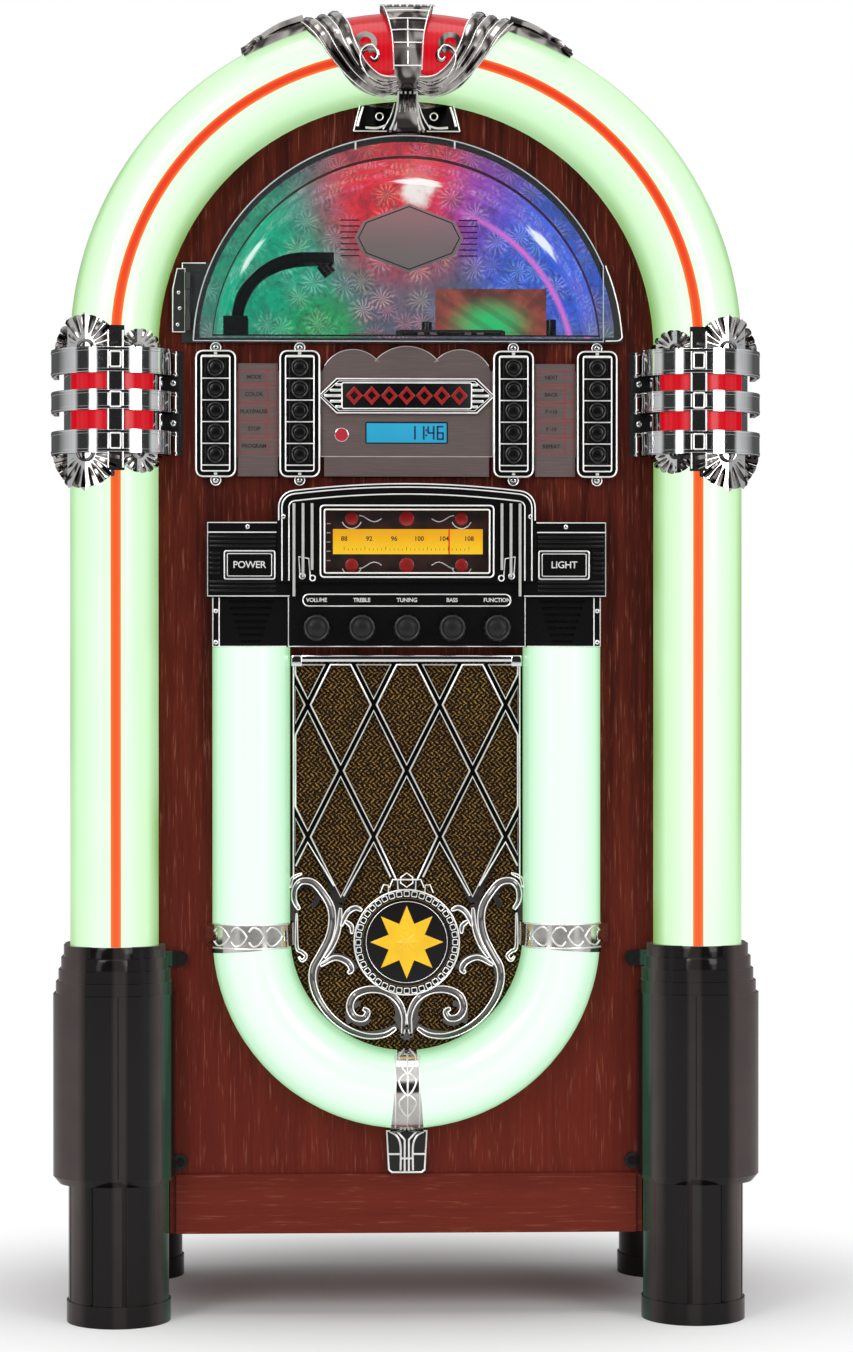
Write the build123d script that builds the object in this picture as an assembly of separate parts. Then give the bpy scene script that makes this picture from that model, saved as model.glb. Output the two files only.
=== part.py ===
from build123d import *
import os
from math import asin, atan2, cos, degrees, pi, sin, sqrt

# CD jukebox, in millimetres. +Z is up, the front faces -Y, +X is to the right as seen from the front.
# The origin is on the floor, under the middle of the bounding box.

# Fits
SEAT = 0.3            # gap round a piece that drops into its seat
SLIDE = 0.3           # gap on each side of a key or button in its window
SHAFT_GAP = 0.08      # radial gap of a turning shaft in its bore
SWING = 0.6           # gap between the door's free edge and its latch plate

# Wooden cabinet
ARCH_Z = 775.0        # height of the centre of the round top
CABINET_HALF = 265.0  # half the cabinet's width, and the radius of its round top
BOARD = 12.0          # side, top and back boards
PANEL_FRONT = -97.0   # front face of the wooden front panel
PANEL = 15.0          # thickness of the front panel
CABINET_BACK = 145.0
BACK_RECESS = 2.0
CABINET_BASE = 67.5   # underside of the cabinet above the floor
PLINTH_TOP = 115.0
PLINTH_GAP = 0.5      # between the plinth board and the legs
PLINTH_PROUD = 3.0    # how far the plinth board stands in front of the front panel

# Large light tube, down both sides and over the top
TUBE_WIDTH = 70.0
TUBE_WALL = 3.5
TUBE_INNER = CABINET_HALF + TUBE_WALL - TUBE_WIDTH  # inner edge of the tube from the centre line
CHANNEL_SHARE = 0.62  # size of the lamp channel, as a share of the tube's half width
FACETS = 12           # flat facets all round the crown and the fans
TUBE_STRAIGHT = 6.0   # straight sides between the panel and the round front
SKIRT = 37.0          # how far the tube laps back over the cabinet's side
TUBE_BOTTOM = 280.0
TUBE_JOINT = 731.0    # columns meet the arches under the side clamps
LENS_ANGLE = 12.0     # half the angle of the red lens at the top of the arch
STRIP_PLACE = 31.5    # from the tube's inner edge to the middle of the red strip
STRIP_WIDTH = 8.0
STRIP_RISE = 1.2

# Small U-shaped light tube in the lower half
U_Z = 307.0
U_INNER = 93.3
U_WIDTH = 62.0
U_STRAIGHT = 4.0

# Column sleeves and legs
COLUMN_SHIFT = 0.35   # from the middle of the tube in to the middle of its sleeve
SLEEVE_WIDTH = 97.0
SLEEVE_FRONT = -143.0
SLEEVE_BACK = -60.0
SLEEVE_CORNER = 34.0
SLEEVE_BOTTOM = 111.0
SLEEVE_TOP = 261.6
SLEEVE_WALL = 4.0
SLEEVE_EDGE = 6.0     # rounding of the sleeve's bottom edge
SLEEVE_RINGS = 4
RING_RISE = 9.65
RING_INSET = 2.1
LUG_RADIUS = 6.0
LUG_SCREW = 3.4
LUG_HEIGHTS = (125.0, 288.0)
LEG_INSET = 35.0      # from the cabinet's side to the middle of a leg
LEG_Y = -102.0
LEG_RADIUS = 40.0
LEG_GROOVES = 9
LEG_GROOVE = 1.6
CAP_RADIUS = 41.5
CAP_HEIGHT = 17.0
REAR_FOOT_INSET = 43.0
REAR_FOOT_Y = 96.0
REAR_FOOT_RADIUS = 34.0

# Side clamps round the light columns
CLAMP_BANDS = ((763.3, 20.6), (731.8, 16.4), (699.2, 18.5))  # middle height and height of each band
CLAMP_INSIDE = 16.0   # how far the bands reach past the tube's inner edge
CLAMP_OUTSIDE = 15.5  # and past its outer edge
CLAMP_FRONT = -145.0
CLAMP_BACK = -66.0
BAND_WALL = 4.0
CAGE_WALL = 2.6
LENS_WALL = 1.6
RIB_PLACE = -3.8      # from the middle of the tube
RIB_WIDTH = 13.8
RIB_ENDS = (676.0, 790.0)
FLANGE_WIDTH = 15.0
# Place from the middle of the tube, height, radius and way of each fan
FANS = ((21.2, 772.6, 28.0, 1), (-22.0, 772.6, 15.3, 1), (21.2, 691.0, 31.0, -1), (-22.0, 691.0, 15.3, -1))
FAN_RAYS = 7
RIB_OUTSIDE = 41.2
FAN_INSET = 0.4
FAN_OUTSIDE = 41.0    # radius of the fans round the middle of the tube
FAN_CUT = 0.86        # depth of the notches between the rays, as a share of the fan's radius

# Crown over the top of the arch
CROWN_WING = 41.0     # radius of the wings round the middle of the tube
CROWN_SHIELD = 42.0
CROWN_INSIDE = 37.3
CROWN_LAP = 22.0      # how far the crown laps back over the top of the tube
CROWN_ANGLE = 32.0
CROWN_FLANGE = (25.0, 0.5)               # below and above the tube's inner edge
CROWN_FLANGE_HALF = 43.0
CROWN_PLATE = 6.0
CROWN_HOLE_X = 21.7
NECK_HALF = 8.0
CROWN_HOLE = 2.0

# Disc bay behind the dome door
DOOR_RADIUS = 171.0
DOOR_BOTTOM = 780.5
DOOR_RIGHT = 157.7    # the door's straight right edge
DOOR_DEPTH = 14.0
DOOR_WALL = 3.0
DOOR_BEVEL = 5.0
LATCH_BLOCK = (16.0, 6.0)                # width and height of the catch at the top of the window
DOOR_GAP = 0.3        # between the door and the frame behind it
FRAME_T = 3.0
BAY_OPENING = 156.0
BAY_FLOOR = 786.0
BAY_DEPTH = 142.0
BAY_WALL = 2.5
BAY_FLANGE = 12.0
HINGE_X = -174.5
HINGE_Y = -104.5
BARREL_RADIUS = 2.6
HINGE_PIN = 1.1
KNUCKLES = (790.0, 803.0, 823.0, 836.0)  # heights where the hinge's knuckles begin and end
EAR_TOP = 838.0
TAB_TOP = 844.0
HINGE_PLATE = (-187.0, -176.8)
HINGE_PLATE_BOTTOM = 789.0
HINGE_PLATE_TOP = 840.0
LATCH_OUTER = 173.0
LATCH_DEPTH = 11.0
LATCH_BOTTOM = 781.0

# Disc player
DISC_X = -51.0
DISC_Y = -10.0
DISC_WELL = 61.5
WELL_DEPTH = 3.0
DECK_T = 8.0
APRON_T = 1.5         # strip along the deck's front edge
APRON_LAP = 6.0
HUB_RADIUS = 15.0
HUB_HEIGHT = 2.2
SPINDLE_RADIUS = 7.4
SPINDLE_HEIGHT = 3.0
HUB_SHAFT = 3.0
KEY_BAR = (-8.0, 80.0, 6.5)              # left end, right end and height of the player's button bar
CARD = (26.0, 114.0, 40.0)               # left edge, right edge and height of the title card
CARD_Y = -38.0
CARD_T = 2.5
POST_RADIUS = 3.4
POSTS = ((18.0, 17.0), (120.0, 19.0))    # place and height of each post
ARM_PIVOT_X = -138.0
ARM_PIVOT_Z = 803.0
ARM_WIDTH = 11.0
ARM_THICK = 9.0
ARM_REACH = 56.0      # radius of the arm's bend
ARM_HEAD = (24.0, 9.0)
ARM_DROP = 38.0       # degrees from the raised arm to the arm on the disc
ARM_CLEARANCE = 1.0   # between the lowered arm and the spindle
PRESSER = (5.5, 11.0) # radius and length of the arm's presser
ARM_PIN = 2.5
ARM_BLOCK = (22.0, 30.0, 24.0)
ARM_BOSS = 1.0        # how far the arm is thicker round its pivot
DRIVE_END = 1.0       # how far the hub's drive rib stands out past the spindle

# Disc control panel
PLATE_T = 4.0
BANK_X = (-152.6, -85.5, 85.5, 152.6)    # four banks of five keys
BEZEL_WIDTH = 32.0
BEZEL_BOTTOM = 673.0
BEZEL_TOP = 774.0
BEZEL_DEPTH = 8.0
BEZEL_CORNER = 6.0
BEZEL_RIM = 22.6
BEZEL_MARGIN = 5.0    # from the bezel's ends to the rim round its keys
BEZEL_RIM_RISE = 2.5
BEZEL_TAB = 4.0       # radius of the round screw tabs
BEZEL_SCREW = 2.1
KEY_ROWS = 5
KEY_PITCH = 17.3
KEY_MIDDLE = 725.5
KEY_WIDTH = 17.0
KEY_HEIGHT = 15.2
KEY_PROUD = 1.6
KEY_TRAVEL = 1.5
KEY_FLOOR = 0.5       # left under a pressed key
KEY_CHAMFER = 0.8
PLATE_HALF = 69.0
PLATE_BOTTOM = 689.7
PLATE_TOP = 758.0
PLATE_FOOT = 673.7
LABEL_GAP = 0.5
LABEL_STEP = (1.0, 6.0)                  # how far the label plate's top and foot are narrower, and its top's height
LOBE_MIDDLE = (0.0, 777.6, 32.9)         # centre line, top and radius of the middle lobe
LOBE_SIDE = (43.0, 775.0, 26.0)
BADGE = (140.0, 28.0, 738.0)
BADGE_RISE = 3.0
BADGE_POINT = 14.0
LCD = (64.0, 15.4, 708.7)
LCD_DEPTH = 3.0
SENSOR = (-52.0, 707.0, 5.0)
SENSOR_RISE = 1.0

# Radio panel
WING_OUTER = 159.5
WING_INNER = 93.0
WING_BOTTOM = 577.0
WING_TOP = 637.0
WING_DEPTH = 14.0
LOUVRE_OUTER = 155.5
LOUVRE_BOTTOM = 537.0
LOUVRE_DEPTH = 10.0
LOUVRES = 7
LOUVRE_WIDTH = 36.0
LOUVRE_PITCH = 5.3
LOUVRE_SLOT = 2.2
LOUVRE_FIRST = 3.5    # from the wing down to the first slot
LOUVRE_TAPER = 3.4
KNOB_PANEL_HALF = 95.0
KNOB_PANEL_TOP = 589.0
KNOB_PANEL_DEPTH = 12.0
TOWER_HALF = 103.0
TOWER_TOP = 668.0
TOWER_SHOULDER = 662.5
TOWER_CORNER = 14.0
TOWER_DEPTH = 17.0
RIB_LENGTHS = (75.0, 60.0, 54.0)         # three ribs on each side of the dial, from the outside in
RIB_PITCH = 7.2
RIB_FIRST = 90.0
RIB_T = 2.4
RIB_TOP = 652.0
DIAL_WIDTH = 139.0
DIAL_HEIGHT = 58.0
DIAL_Z = 621.3
DIAL_RIM = 4.0
DIAL_RIM_RISE = 2.0
DIAL_DEPTH = 4.0
POINTER_X = 34.0
POINTER_T = 1.2
POINTER_HEIGHT = 20.0
BUTTON_X = 125.4
BUTTON_Z = 602.5
BUTTON_WIDTH = 38.0
BUTTON_HEIGHT = 20.5
BUTTON_PROUD = 2.2
BUTTON_TRAVEL = 2.0
BUTTON_RIM = 2.0
BUTTON_RIM_RISE = 1.2
KNOB_PITCH = 36.0
KNOB_Z = 552.3
KNOB_RADIUS = 10.9
KNOB_LENGTH = 13.0
KNOB_TEETH = 14
KNOB_TOOTH = 0.7
KNOB_SHAFT = 3.0
KNOB_LIFT = 0.4       # gap between a knob and the panel
CHASSIS_WIDTH = 200.0
STRIP_PILL = (167.0, 9.5, 574.5)
STRIP_PILL_RISE = 1.0

# Speaker grille
GRILLE_HALF = 92.5
GRILLE_TOP = 531.0
CLOTH_T = 2.0
LATTICE_T = 4.0
LATTICE_BAR = 5.0
LATTICE_X = 26.4      # half the pitch of the lattice across
LATTICE_Z = 52.8      # and up
LATTICE_ROW = 491.0
LATTICE_ROWS = 3
LATTICE_END = 332.6
EDGE_BAR = 3.0
TOP_BAR = 6.0
SCROLL = 4.4
MEDALLION_Z = 301.0
MEDALLION_RADIUS = 42.5
MEDALLION_DISC = 35.3
MEDALLION_RISE = 6.0
STAR_RADIUS = 27.6
STAR_NOTCH = 15.0
STAR_POINTS = 8
STAR_RISE = 4.0

# Clips on the U tube
CLIP_HEIGHT = 21.0
CLIP_WALL = 3.0
CLIP_GAP = 0.3
FOOT_CLIP_WIDTH = 21.0
END_PLATE = (32.0, 117.5, 150.5)
END_PLATE_T = 8.0

# Inside and behind
SPEAKER_HEIGHTS = (450.0, 350.0)
SPEAKER_HOLE = 44.0
SPEAKER_FRAME = 50.0
SPEAKER_DEPTH = 45.0
SPEAKER_MAGNET = 28.0
BASKET_SIDES = 12
BASKET_T = 3.0
MAGNET_T = 15.0
CHASSIS_BOARD = (180.0, 110.0, 3.0)
TRANSFORMER = (52.0, 44.0, 40.0)
TRANSFORMER_EDGE = 6.0                   # from the board's left edge
TERMINALS = (150.0, 90.0, 190.0)
TERMINAL_T = 3.0
TERMINAL_RADIUS = 6.0
INLET = (27.0, 20.0, 12.0)
INLET_WALL = 2.0
VENT_SLOTS = 5
VENT = (90.0, 6.0, 16.0)
SCREW_RISE = 1.5

# Sizes that follow from the ones above
TUBE_OUTER = TUBE_INNER + TUBE_WIDTH
TUBE_MID = TUBE_INNER + TUBE_WIDTH / 2
TUBE_PEAK = ARCH_Z + TUBE_OUTER
STRIP_RADIUS = TUBE_INNER + STRIP_PLACE
COLUMN_X = TUBE_MID - COLUMN_SHIFT
LEG_X = CABINET_HALF - LEG_INSET
REAR_FOOT_X = CABINET_HALF - REAR_FOOT_INSET
PLINTH_HALF = LEG_X - LEG_RADIUS - PLINTH_GAP
CLAMP_INNER = TUBE_INNER - CLAMP_INSIDE
CLAMP_OUTER = TUBE_OUTER + CLAMP_OUTSIDE
CROWN_FLANGE_BOTTOM = ARCH_Z + TUBE_INNER - CROWN_FLANGE[0]
CROWN_FLANGE_TOP = ARCH_Z + TUBE_INNER + CROWN_FLANGE[1]
TUBE_SPRING = PANEL_FRONT - TUBE_STRAIGHT
U_OUTER = U_INNER + U_WIDTH
U_MID = U_INNER + U_WIDTH / 2
U_SPRING = PANEL_FRONT - U_STRAIGHT
PANEL_REAR = PANEL_FRONT + PANEL
FRAME_FRONT = PANEL_FRONT - FRAME_T
BAY_BACK = PANEL_REAR + BAY_DEPTH
BEZEL_FRONT = PANEL_FRONT - BEZEL_DEPTH
RIM_FRONT = BEZEL_FRONT - BEZEL_RIM_RISE
KEY_BACK = PANEL_FRONT - KEY_FLOOR - KEY_TRAVEL


def slab(sketch, back, front):
    """Extrude a front view, drawn in X and Z, from its back to its front (towards -Y)."""
    plane = Plane((0, back, 0), x_dir=(1, 0, 0), z_dir=(0, -1, 0))
    return extrude(plane * sketch, amount=back - front, dir=(0, -1, 0))


def rod(radius, start, end):
    """A round bar between two points."""
    start = Vector(*start)
    end = Vector(*end)
    axis = end - start
    return extrude(Plane(start, z_dir=axis) * Circle(radius), amount=axis.length)


def block(x_ends, y_ends, z_ends):
    """A box between two values on each axis."""
    size = [abs(ends[1] - ends[0]) for ends in (x_ends, y_ends, z_ends)]
    middle = [sum(ends) / 2 for ends in (x_ends, y_ends, z_ends)]
    return Pos(*middle) * Box(*size)


def front_box(x, z, width, height):
    """A rectangle in the front view."""
    return Pos(x, z) * Rectangle(width, height)


def between(x_ends, z_ends):
    """A rectangle between two values across and two heights, in the front view."""
    return front_box(sum(x_ends) / 2, sum(z_ends) / 2, abs(x_ends[1] - x_ends[0]), abs(z_ends[1] - z_ends[0]))


def both_sides(shape):
    """The shape and its mirror image across the middle of the jukebox."""
    return [shape, mirror(shape, about=Plane.YZ)]


def arch(radius, bottom):
    """Front view of a board with straight sides and a round top."""
    sides = front_box(0, (ARCH_Z + bottom) / 2, 2 * radius, ARCH_Z - bottom)
    return Pos(0, ARCH_Z) * Circle(radius) + sides


def dome(radius, bottom, right):
    """Front view of the window: a round top, cut level at the bottom and straight at the right."""
    left = -2 * radius
    top = ARCH_Z + 2 * radius
    window = front_box((left + right) / 2, (bottom + top) / 2, right - left, top - bottom)
    return (Pos(0, ARCH_Z) * Circle(radius)) & window


def tube_section(inner, outer, spring):
    """Section of a round-fronted light tube with its lamp channel, drawn at its distance from the centre."""
    middle = (inner + outer) / 2
    half = (outer - inner) / 2
    line = Polyline((inner, spring), (inner, PANEL_FRONT), (outer, PANEL_FRONT), (outer, spring))
    line += ThreePointArc((inner, spring), (middle, spring - half), (outer, spring))
    depth = PANEL_FRONT - spring + CHANNEL_SHARE * half
    channel = Rectangle(2 * CHANNEL_SHARE * half, depth, align=(Align.CENTER, Align.MAX))
    return make_face(line) - Pos(middle, PANEL_FRONT) * channel


def ring_section(middle, spring, inside, outside):
    """Half ring round the front of a light tube, in its section."""
    return front_half(Circle(outside) - Circle(inside), middle, spring, outside)


def faceted_ring(inside, outside):
    """Half ring of flat facets round the front of the large tube, in its section."""
    corner = inside / cos(pi / FACETS)
    return front_half(RegularPolygon(outside, FACETS) - RegularPolygon(corner, FACETS), TUBE_MID, TUBE_SPRING, outside)


def front_half(ring, middle, spring, reach):
    front = Pos(middle, spring - reach) * Rectangle(4 * reach, 2 * reach)
    return (Pos(middle, spring) * ring) & front


def upright(sketch, bottom, top):
    """Extrude a section drawn in X and Y between two heights."""
    return extrude(Pos(0, 0, bottom) * sketch, amount=top - bottom, dir=(0, 0, 1))


def over_arch(sketch, start, end):
    """Turn a section about the centre of the arch, from one angle above level to another."""
    axis = Axis((0, 0, ARCH_Z), (0, -1, 0))
    turned = revolve(Pos(0, 0, ARCH_Z) * sketch, axis, end - start)
    return turned.rotate(axis, start)


def arc_bar(x, z, radius, start, sweep, width=SCROLL):
    """A bent bar in the front view."""
    return trace(CenterArc((x, z), radius, start, sweep), line_width=width)


def straight_bar(start, end, width=SCROLL):
    """A straight bar in the front view."""
    return trace(Line(start, end), line_width=width)


def round_u(sketch, start, end):
    """Turn a section about the centre of the U tube, from one angle below level to another."""
    axis = Axis((0, 0, U_Z), (0, 1, 0))
    turned = revolve(Pos(0, 0, U_Z) * sketch, axis, end - start)
    return turned.rotate(axis, start)


def mirrored(sketch):
    """A front view and its mirror image, as one."""
    return sketch + mirror(sketch, about=Plane.YZ)


# Cabinet

def front_panel():
    board = arch(CABINET_HALF, PLINTH_TOP)
    board -= dome(BAY_OPENING, BAY_FLOOR, BAY_OPENING)
    board -= front_box(0, DIAL_Z, CHASSIS_WIDTH - 2 * TOWER_CORNER, DIAL_HEIGHT)
    for height in SPEAKER_HEIGHTS:
        board -= Pos(0, height) * Circle(SPEAKER_HOLE)
    return slab(board, PANEL_REAR, PANEL_FRONT)


def cabinet_shell():
    ring = arch(CABINET_HALF, CABINET_BASE) - arch(CABINET_HALF - BOARD, CABINET_BASE - BOARD)
    return slab(ring, CABINET_BACK, PANEL_REAR)


def back_panel():
    outer = CABINET_BACK - BACK_RECESS
    board = arch(CABINET_HALF - BOARD - SEAT, CABINET_BASE + PANEL)
    width, height, middle = TERMINALS
    board -= front_box(0, middle, width - 2 * BOARD, height - 2 * BOARD)
    slot_width, slot_height, pitch = VENT
    for row in range(VENT_SLOTS):
        slot = Rectangle(slot_width, slot_height)
        board -= Pos(0, ARCH_Z - DOOR_RADIUS - row * pitch) * slot
    return slab(board, outer, outer - BOARD)


def plinth():
    face = COLUMN_X - SLEEVE_WIDTH / 2 - SEAT
    board = block((-PLINTH_HALF, PLINTH_HALF), (PANEL_FRONT, PANEL_REAR), (CABINET_BASE, PLINTH_TOP))
    board += block((-face, face), (PANEL_FRONT - PLINTH_PROUD, PANEL_FRONT), (CABINET_BASE, PLINTH_TOP))
    inside = CABINET_HALF - BOARD - SEAT
    floor_back = CABINET_BACK - BACK_RECESS
    floor = block((-inside, inside), (PANEL_REAR, floor_back), (CABINET_BASE, CABINET_BASE + PANEL))
    return board + floor


# Light tubes

def large_tube_section():
    """Section of the large tube, with the skirt that laps back over the cabinet's side."""
    skirt = Pos(TUBE_OUTER, PANEL_FRONT) * Rectangle(TUBE_WALL, SKIRT, align=(Align.MAX, Align.MIN))
    return tube_section(TUBE_INNER, TUBE_OUTER, TUBE_SPRING) + skirt


def light_tubes():
    """Two straight columns, two quarter arches and the small U-shaped tube."""
    column = upright(large_tube_section(), TUBE_BOTTOM, TUBE_JOINT)
    rise = upright(large_tube_section(), TUBE_JOINT, ARCH_Z)
    bend = over_arch(large_tube_section(), 0, 90 - LENS_ANGLE)
    section = tube_section(U_INNER, U_OUTER, U_SPRING)
    arm = upright(section, U_Z, LOUVRE_BOTTOM)
    small_tube = round_u(section, 0, 180) + arm + mirror(arm, about=Plane.YZ)
    return both_sides(column) + both_sides(rise + bend) + [small_tube]


def strip_section():
    return Pos(STRIP_RADIUS, TUBE_SPRING - TUBE_WIDTH / 2 - STRIP_RISE / 2) * Rectangle(STRIP_WIDTH, STRIP_RISE)


def red_strips():
    bottom = SLEEVE_TOP + SLEEVE_RINGS * RING_RISE
    low_band, low_height = CLAMP_BANDS[-1]
    column = upright(strip_section(), bottom, low_band - low_height / 2)
    bend = over_arch(strip_section(), 0, 90 - LENS_ANGLE)
    return both_sides(column) + both_sides(bend)


# Columns and feet

def sleeve_plan(inset, wall=0.0):
    """Plan of a sleeve, drawn in by an inset all round and by a wall along the cabinet."""
    width = SLEEVE_WIDTH - 2 * inset
    front = SLEEVE_FRONT + inset
    depth = SLEEVE_BACK - wall - front
    plan = Pos(COLUMN_X, front + depth / 2) * RectangleRounded(width, depth, SLEEVE_CORNER - inset)
    half = CABINET_HALF + wall
    return plan - Pos(0, PANEL_FRONT - wall + half) * Rectangle(2 * half, 2 * half)


def column_sleeves():
    body = upright(sleeve_plan(0), SLEEVE_BOTTOM + SLEEVE_EDGE, SLEEVE_TOP)
    foot = extrude(Pos(0, 0, SLEEVE_BOTTOM + SLEEVE_EDGE) * sleeve_plan(0), amount=-SLEEVE_EDGE, taper=40)
    body += foot
    for ring in range(SLEEVE_RINGS):
        bottom = SLEEVE_TOP + ring * RING_RISE
        body += upright(sleeve_plan((ring + 1) * RING_INSET), bottom, bottom + RING_RISE)
    top = SLEEVE_TOP + SLEEVE_RINGS * RING_RISE
    body -= upright(tube_socket(), TUBE_BOTTOM, top)
    body -= upright(sleeve_plan(SLEEVE_WALL, SLEEVE_WALL), SLEEVE_BOTTOM + SLEEVE_EDGE + SLEEVE_WALL,
                    SLEEVE_TOP - SLEEVE_WALL)
    lug_x = lug_place()
    for height in LUG_HEIGHTS:
        lug = front_box(lug_x + LUG_RADIUS, height, 2 * LUG_RADIUS, 2 * LUG_RADIUS)
        lug += Pos(lug_x, height) * Circle(LUG_RADIUS)
        body += slab(lug, PANEL_FRONT, PANEL_FRONT - SLEEVE_WALL)
    return both_sides(body)


def lug_place():
    """Distance of the sleeves' screw lugs from the centre line."""
    return COLUMN_X - SLEEVE_WIDTH / 2 - LUG_SCREW - SEAT


def tube_socket():
    """Space that the end of a light column takes in the top of its sleeve."""
    radius = TUBE_WIDTH / 2 + SEAT
    socket = Pos(TUBE_MID, TUBE_SPRING) * Circle(radius)
    depth = SLEEVE_BACK - TUBE_SPRING
    return socket + Pos(TUBE_MID, TUBE_SPRING + depth / 2) * Rectangle(2 * radius, depth)


def legs():
    plan = Circle(LEG_RADIUS)
    step = 360 / LEG_GROOVES
    for groove in range(LEG_GROOVES):
        notch = Pos(LEG_RADIUS, 0) * Rectangle(2 * LEG_GROOVE, 2 * LEG_GROOVE, rotation=45)
        plan -= Rot(0, 0, (groove + 0.5) * step) * notch
    leg = upright(Pos(LEG_X, LEG_Y) * plan, CAP_HEIGHT, SLEEVE_BOTTOM)
    leg += upright(Pos(LEG_X, LEG_Y) * Circle(CAP_RADIUS), 0, CAP_HEIGHT)
    leg -= block((0, 2 * LEG_X), (PANEL_REAR, CABINET_BACK), (CABINET_BASE, PLINTH_TOP))
    foot = upright(Pos(REAR_FOOT_X, REAR_FOOT_Y) * Circle(REAR_FOOT_RADIUS), CAP_HEIGHT, CABINET_BASE)
    foot += upright(Pos(REAR_FOOT_X, REAR_FOOT_Y) * Circle(REAR_FOOT_RADIUS + CAP_RADIUS - LEG_RADIUS), 0,
                    CAP_HEIGHT)
    return both_sides(leg) + both_sides(foot)


# Chrome clamps and their lenses

def clamp_band_section():
    middle = (CLAMP_INNER + CLAMP_OUTER) / 2
    inner = CLAMP_INNER + BAND_WALL
    outer = CLAMP_OUTER - BAND_WALL
    line = Polyline((inner, PANEL_FRONT), (CLAMP_INNER, PANEL_FRONT))
    line += ThreePointArc((CLAMP_INNER, PANEL_FRONT), (middle, CLAMP_FRONT), (CLAMP_OUTER, PANEL_FRONT))
    line += Polyline((CLAMP_OUTER, PANEL_FRONT), (CLAMP_OUTER, CLAMP_BACK), (outer, CLAMP_BACK),
                     (outer, PANEL_FRONT))
    line += ThreePointArc((outer, PANEL_FRONT), (middle, CLAMP_FRONT + BAND_WALL), (inner, PANEL_FRONT))
    return make_face(line)


def cage_section():
    inside = TUBE_WIDTH / 2 + SEAT + LENS_WALL + SEAT
    outside = inside + CAGE_WALL
    cage = ring_section(TUBE_MID, TUBE_SPRING, inside, outside)
    left_gap = PANEL_FRONT - TUBE_SPRING
    cage += Pos(TUBE_MID - (inside + outside) / 2, TUBE_SPRING + left_gap / 2) * Rectangle(CAGE_WALL, left_gap)
    right_gap = CLAMP_BACK - TUBE_SPRING
    cage += Pos(TUBE_MID + (inside + outside) / 2, TUBE_SPRING + right_gap / 2) * Rectangle(CAGE_WALL, right_gap)
    flange = TUBE_MID - outside - FLANGE_WIDTH / 2 + CAGE_WALL / 2
    cage += Pos(flange, PANEL_FRONT - CAGE_WALL / 2) * Rectangle(FLANGE_WIDTH + CAGE_WALL, CAGE_WALL)
    return cage


def fan_outline(x, z, radius, way):
    """Scalloped half disc."""
    step = pi / FAN_RAYS
    points = []
    for ray in range(FAN_RAYS):
        points.append((ray * step, FAN_CUT * radius))
        points.append(((ray + 0.5) * step, radius))
    points.append((pi, FAN_CUT * radius))
    return Polygon(*[(x + r * cos(a), z + way * r * sin(a)) for a, r in points])


def clamp_fan(place, z, radius, way):
    """Ribbed half disc wrapped round the front of the clamp."""
    inside = TUBE_WIDTH / 2 + SEAT + LENS_WALL + SEAT
    shell = upright(faceted_ring(inside + FAN_INSET, FAN_OUTSIDE), z - radius, z + radius)
    return shell & slab(fan_outline(TUBE_MID + place, z, radius, way), PANEL_FRONT, TUBE_SPRING - FAN_OUTSIDE)


def side_clamps():
    top_band, top_height = CLAMP_BANDS[0]
    low_band, low_height = CLAMP_BANDS[-1]
    bottom = low_band - low_height / 2
    top = top_band + top_height / 2
    clamp = upright(cage_section(), bottom, top)
    window_half = TUBE_WIDTH / 2 - CAGE_WALL
    for upper, lower in zip(CLAMP_BANDS, CLAMP_BANDS[1:]):
        high = upper[0] - upper[1] / 2
        low = lower[0] + lower[1] / 2
        window = front_box(TUBE_MID, (high + low) / 2, 2 * window_half, high - low)
        clamp -= slab(window, PANEL_FRONT, CLAMP_FRONT)
    for middle, height in CLAMP_BANDS:
        clamp += upright(clamp_band_section(), middle - height / 2, middle + height / 2)
        filler = upright(cage_section(), middle - height / 2, middle + height / 2)
        clamp += filler
    rib_face = front_box(TUBE_MID + RIB_PLACE, sum(RIB_ENDS) / 2, RIB_WIDTH, RIB_ENDS[1] - RIB_ENDS[0])
    inside = TUBE_WIDTH / 2 + SEAT + LENS_WALL + SEAT
    rib_shell = upright(ring_section(TUBE_MID, TUBE_SPRING, inside, RIB_OUTSIDE), *RIB_ENDS)
    clamp += rib_shell & slab(rib_face, PANEL_FRONT, CLAMP_FRONT)
    for fan in FANS:
        clamp += clamp_fan(*fan)
    return both_sides(clamp)


def red_lenses():
    radius = TUBE_WIDTH / 2
    lens_ring = ring_section(TUBE_MID, TUBE_SPRING, radius + SEAT, radius + SEAT + LENS_WALL)
    low_band, low_height = CLAMP_BANDS[-1]
    bottom = low_band - low_height / 2
    side_lens = upright(lens_ring, bottom, ARCH_Z)
    half_lens = over_arch(large_tube_section(), 90 - LENS_ANGLE, 90)
    top_lens = half_lens + mirror(half_lens, about=Plane.YZ)
    return both_sides(side_lens) + [top_lens]


# Crown

def crown_shell(outside):
    """Right half of a faceted shell that hugs the front and the outer edge of the tube."""
    section = faceted_ring(CROWN_INSIDE, outside)
    corner = CROWN_INSIDE / cos(pi / FACETS)
    lap = Pos(TUBE_MID + (corner + outside) / 2, TUBE_SPRING + CROWN_LAP / 2)
    section += lap * Rectangle(outside - corner, CROWN_LAP)
    return over_arch(section, 90 - CROWN_ANGLE, 90)


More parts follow.
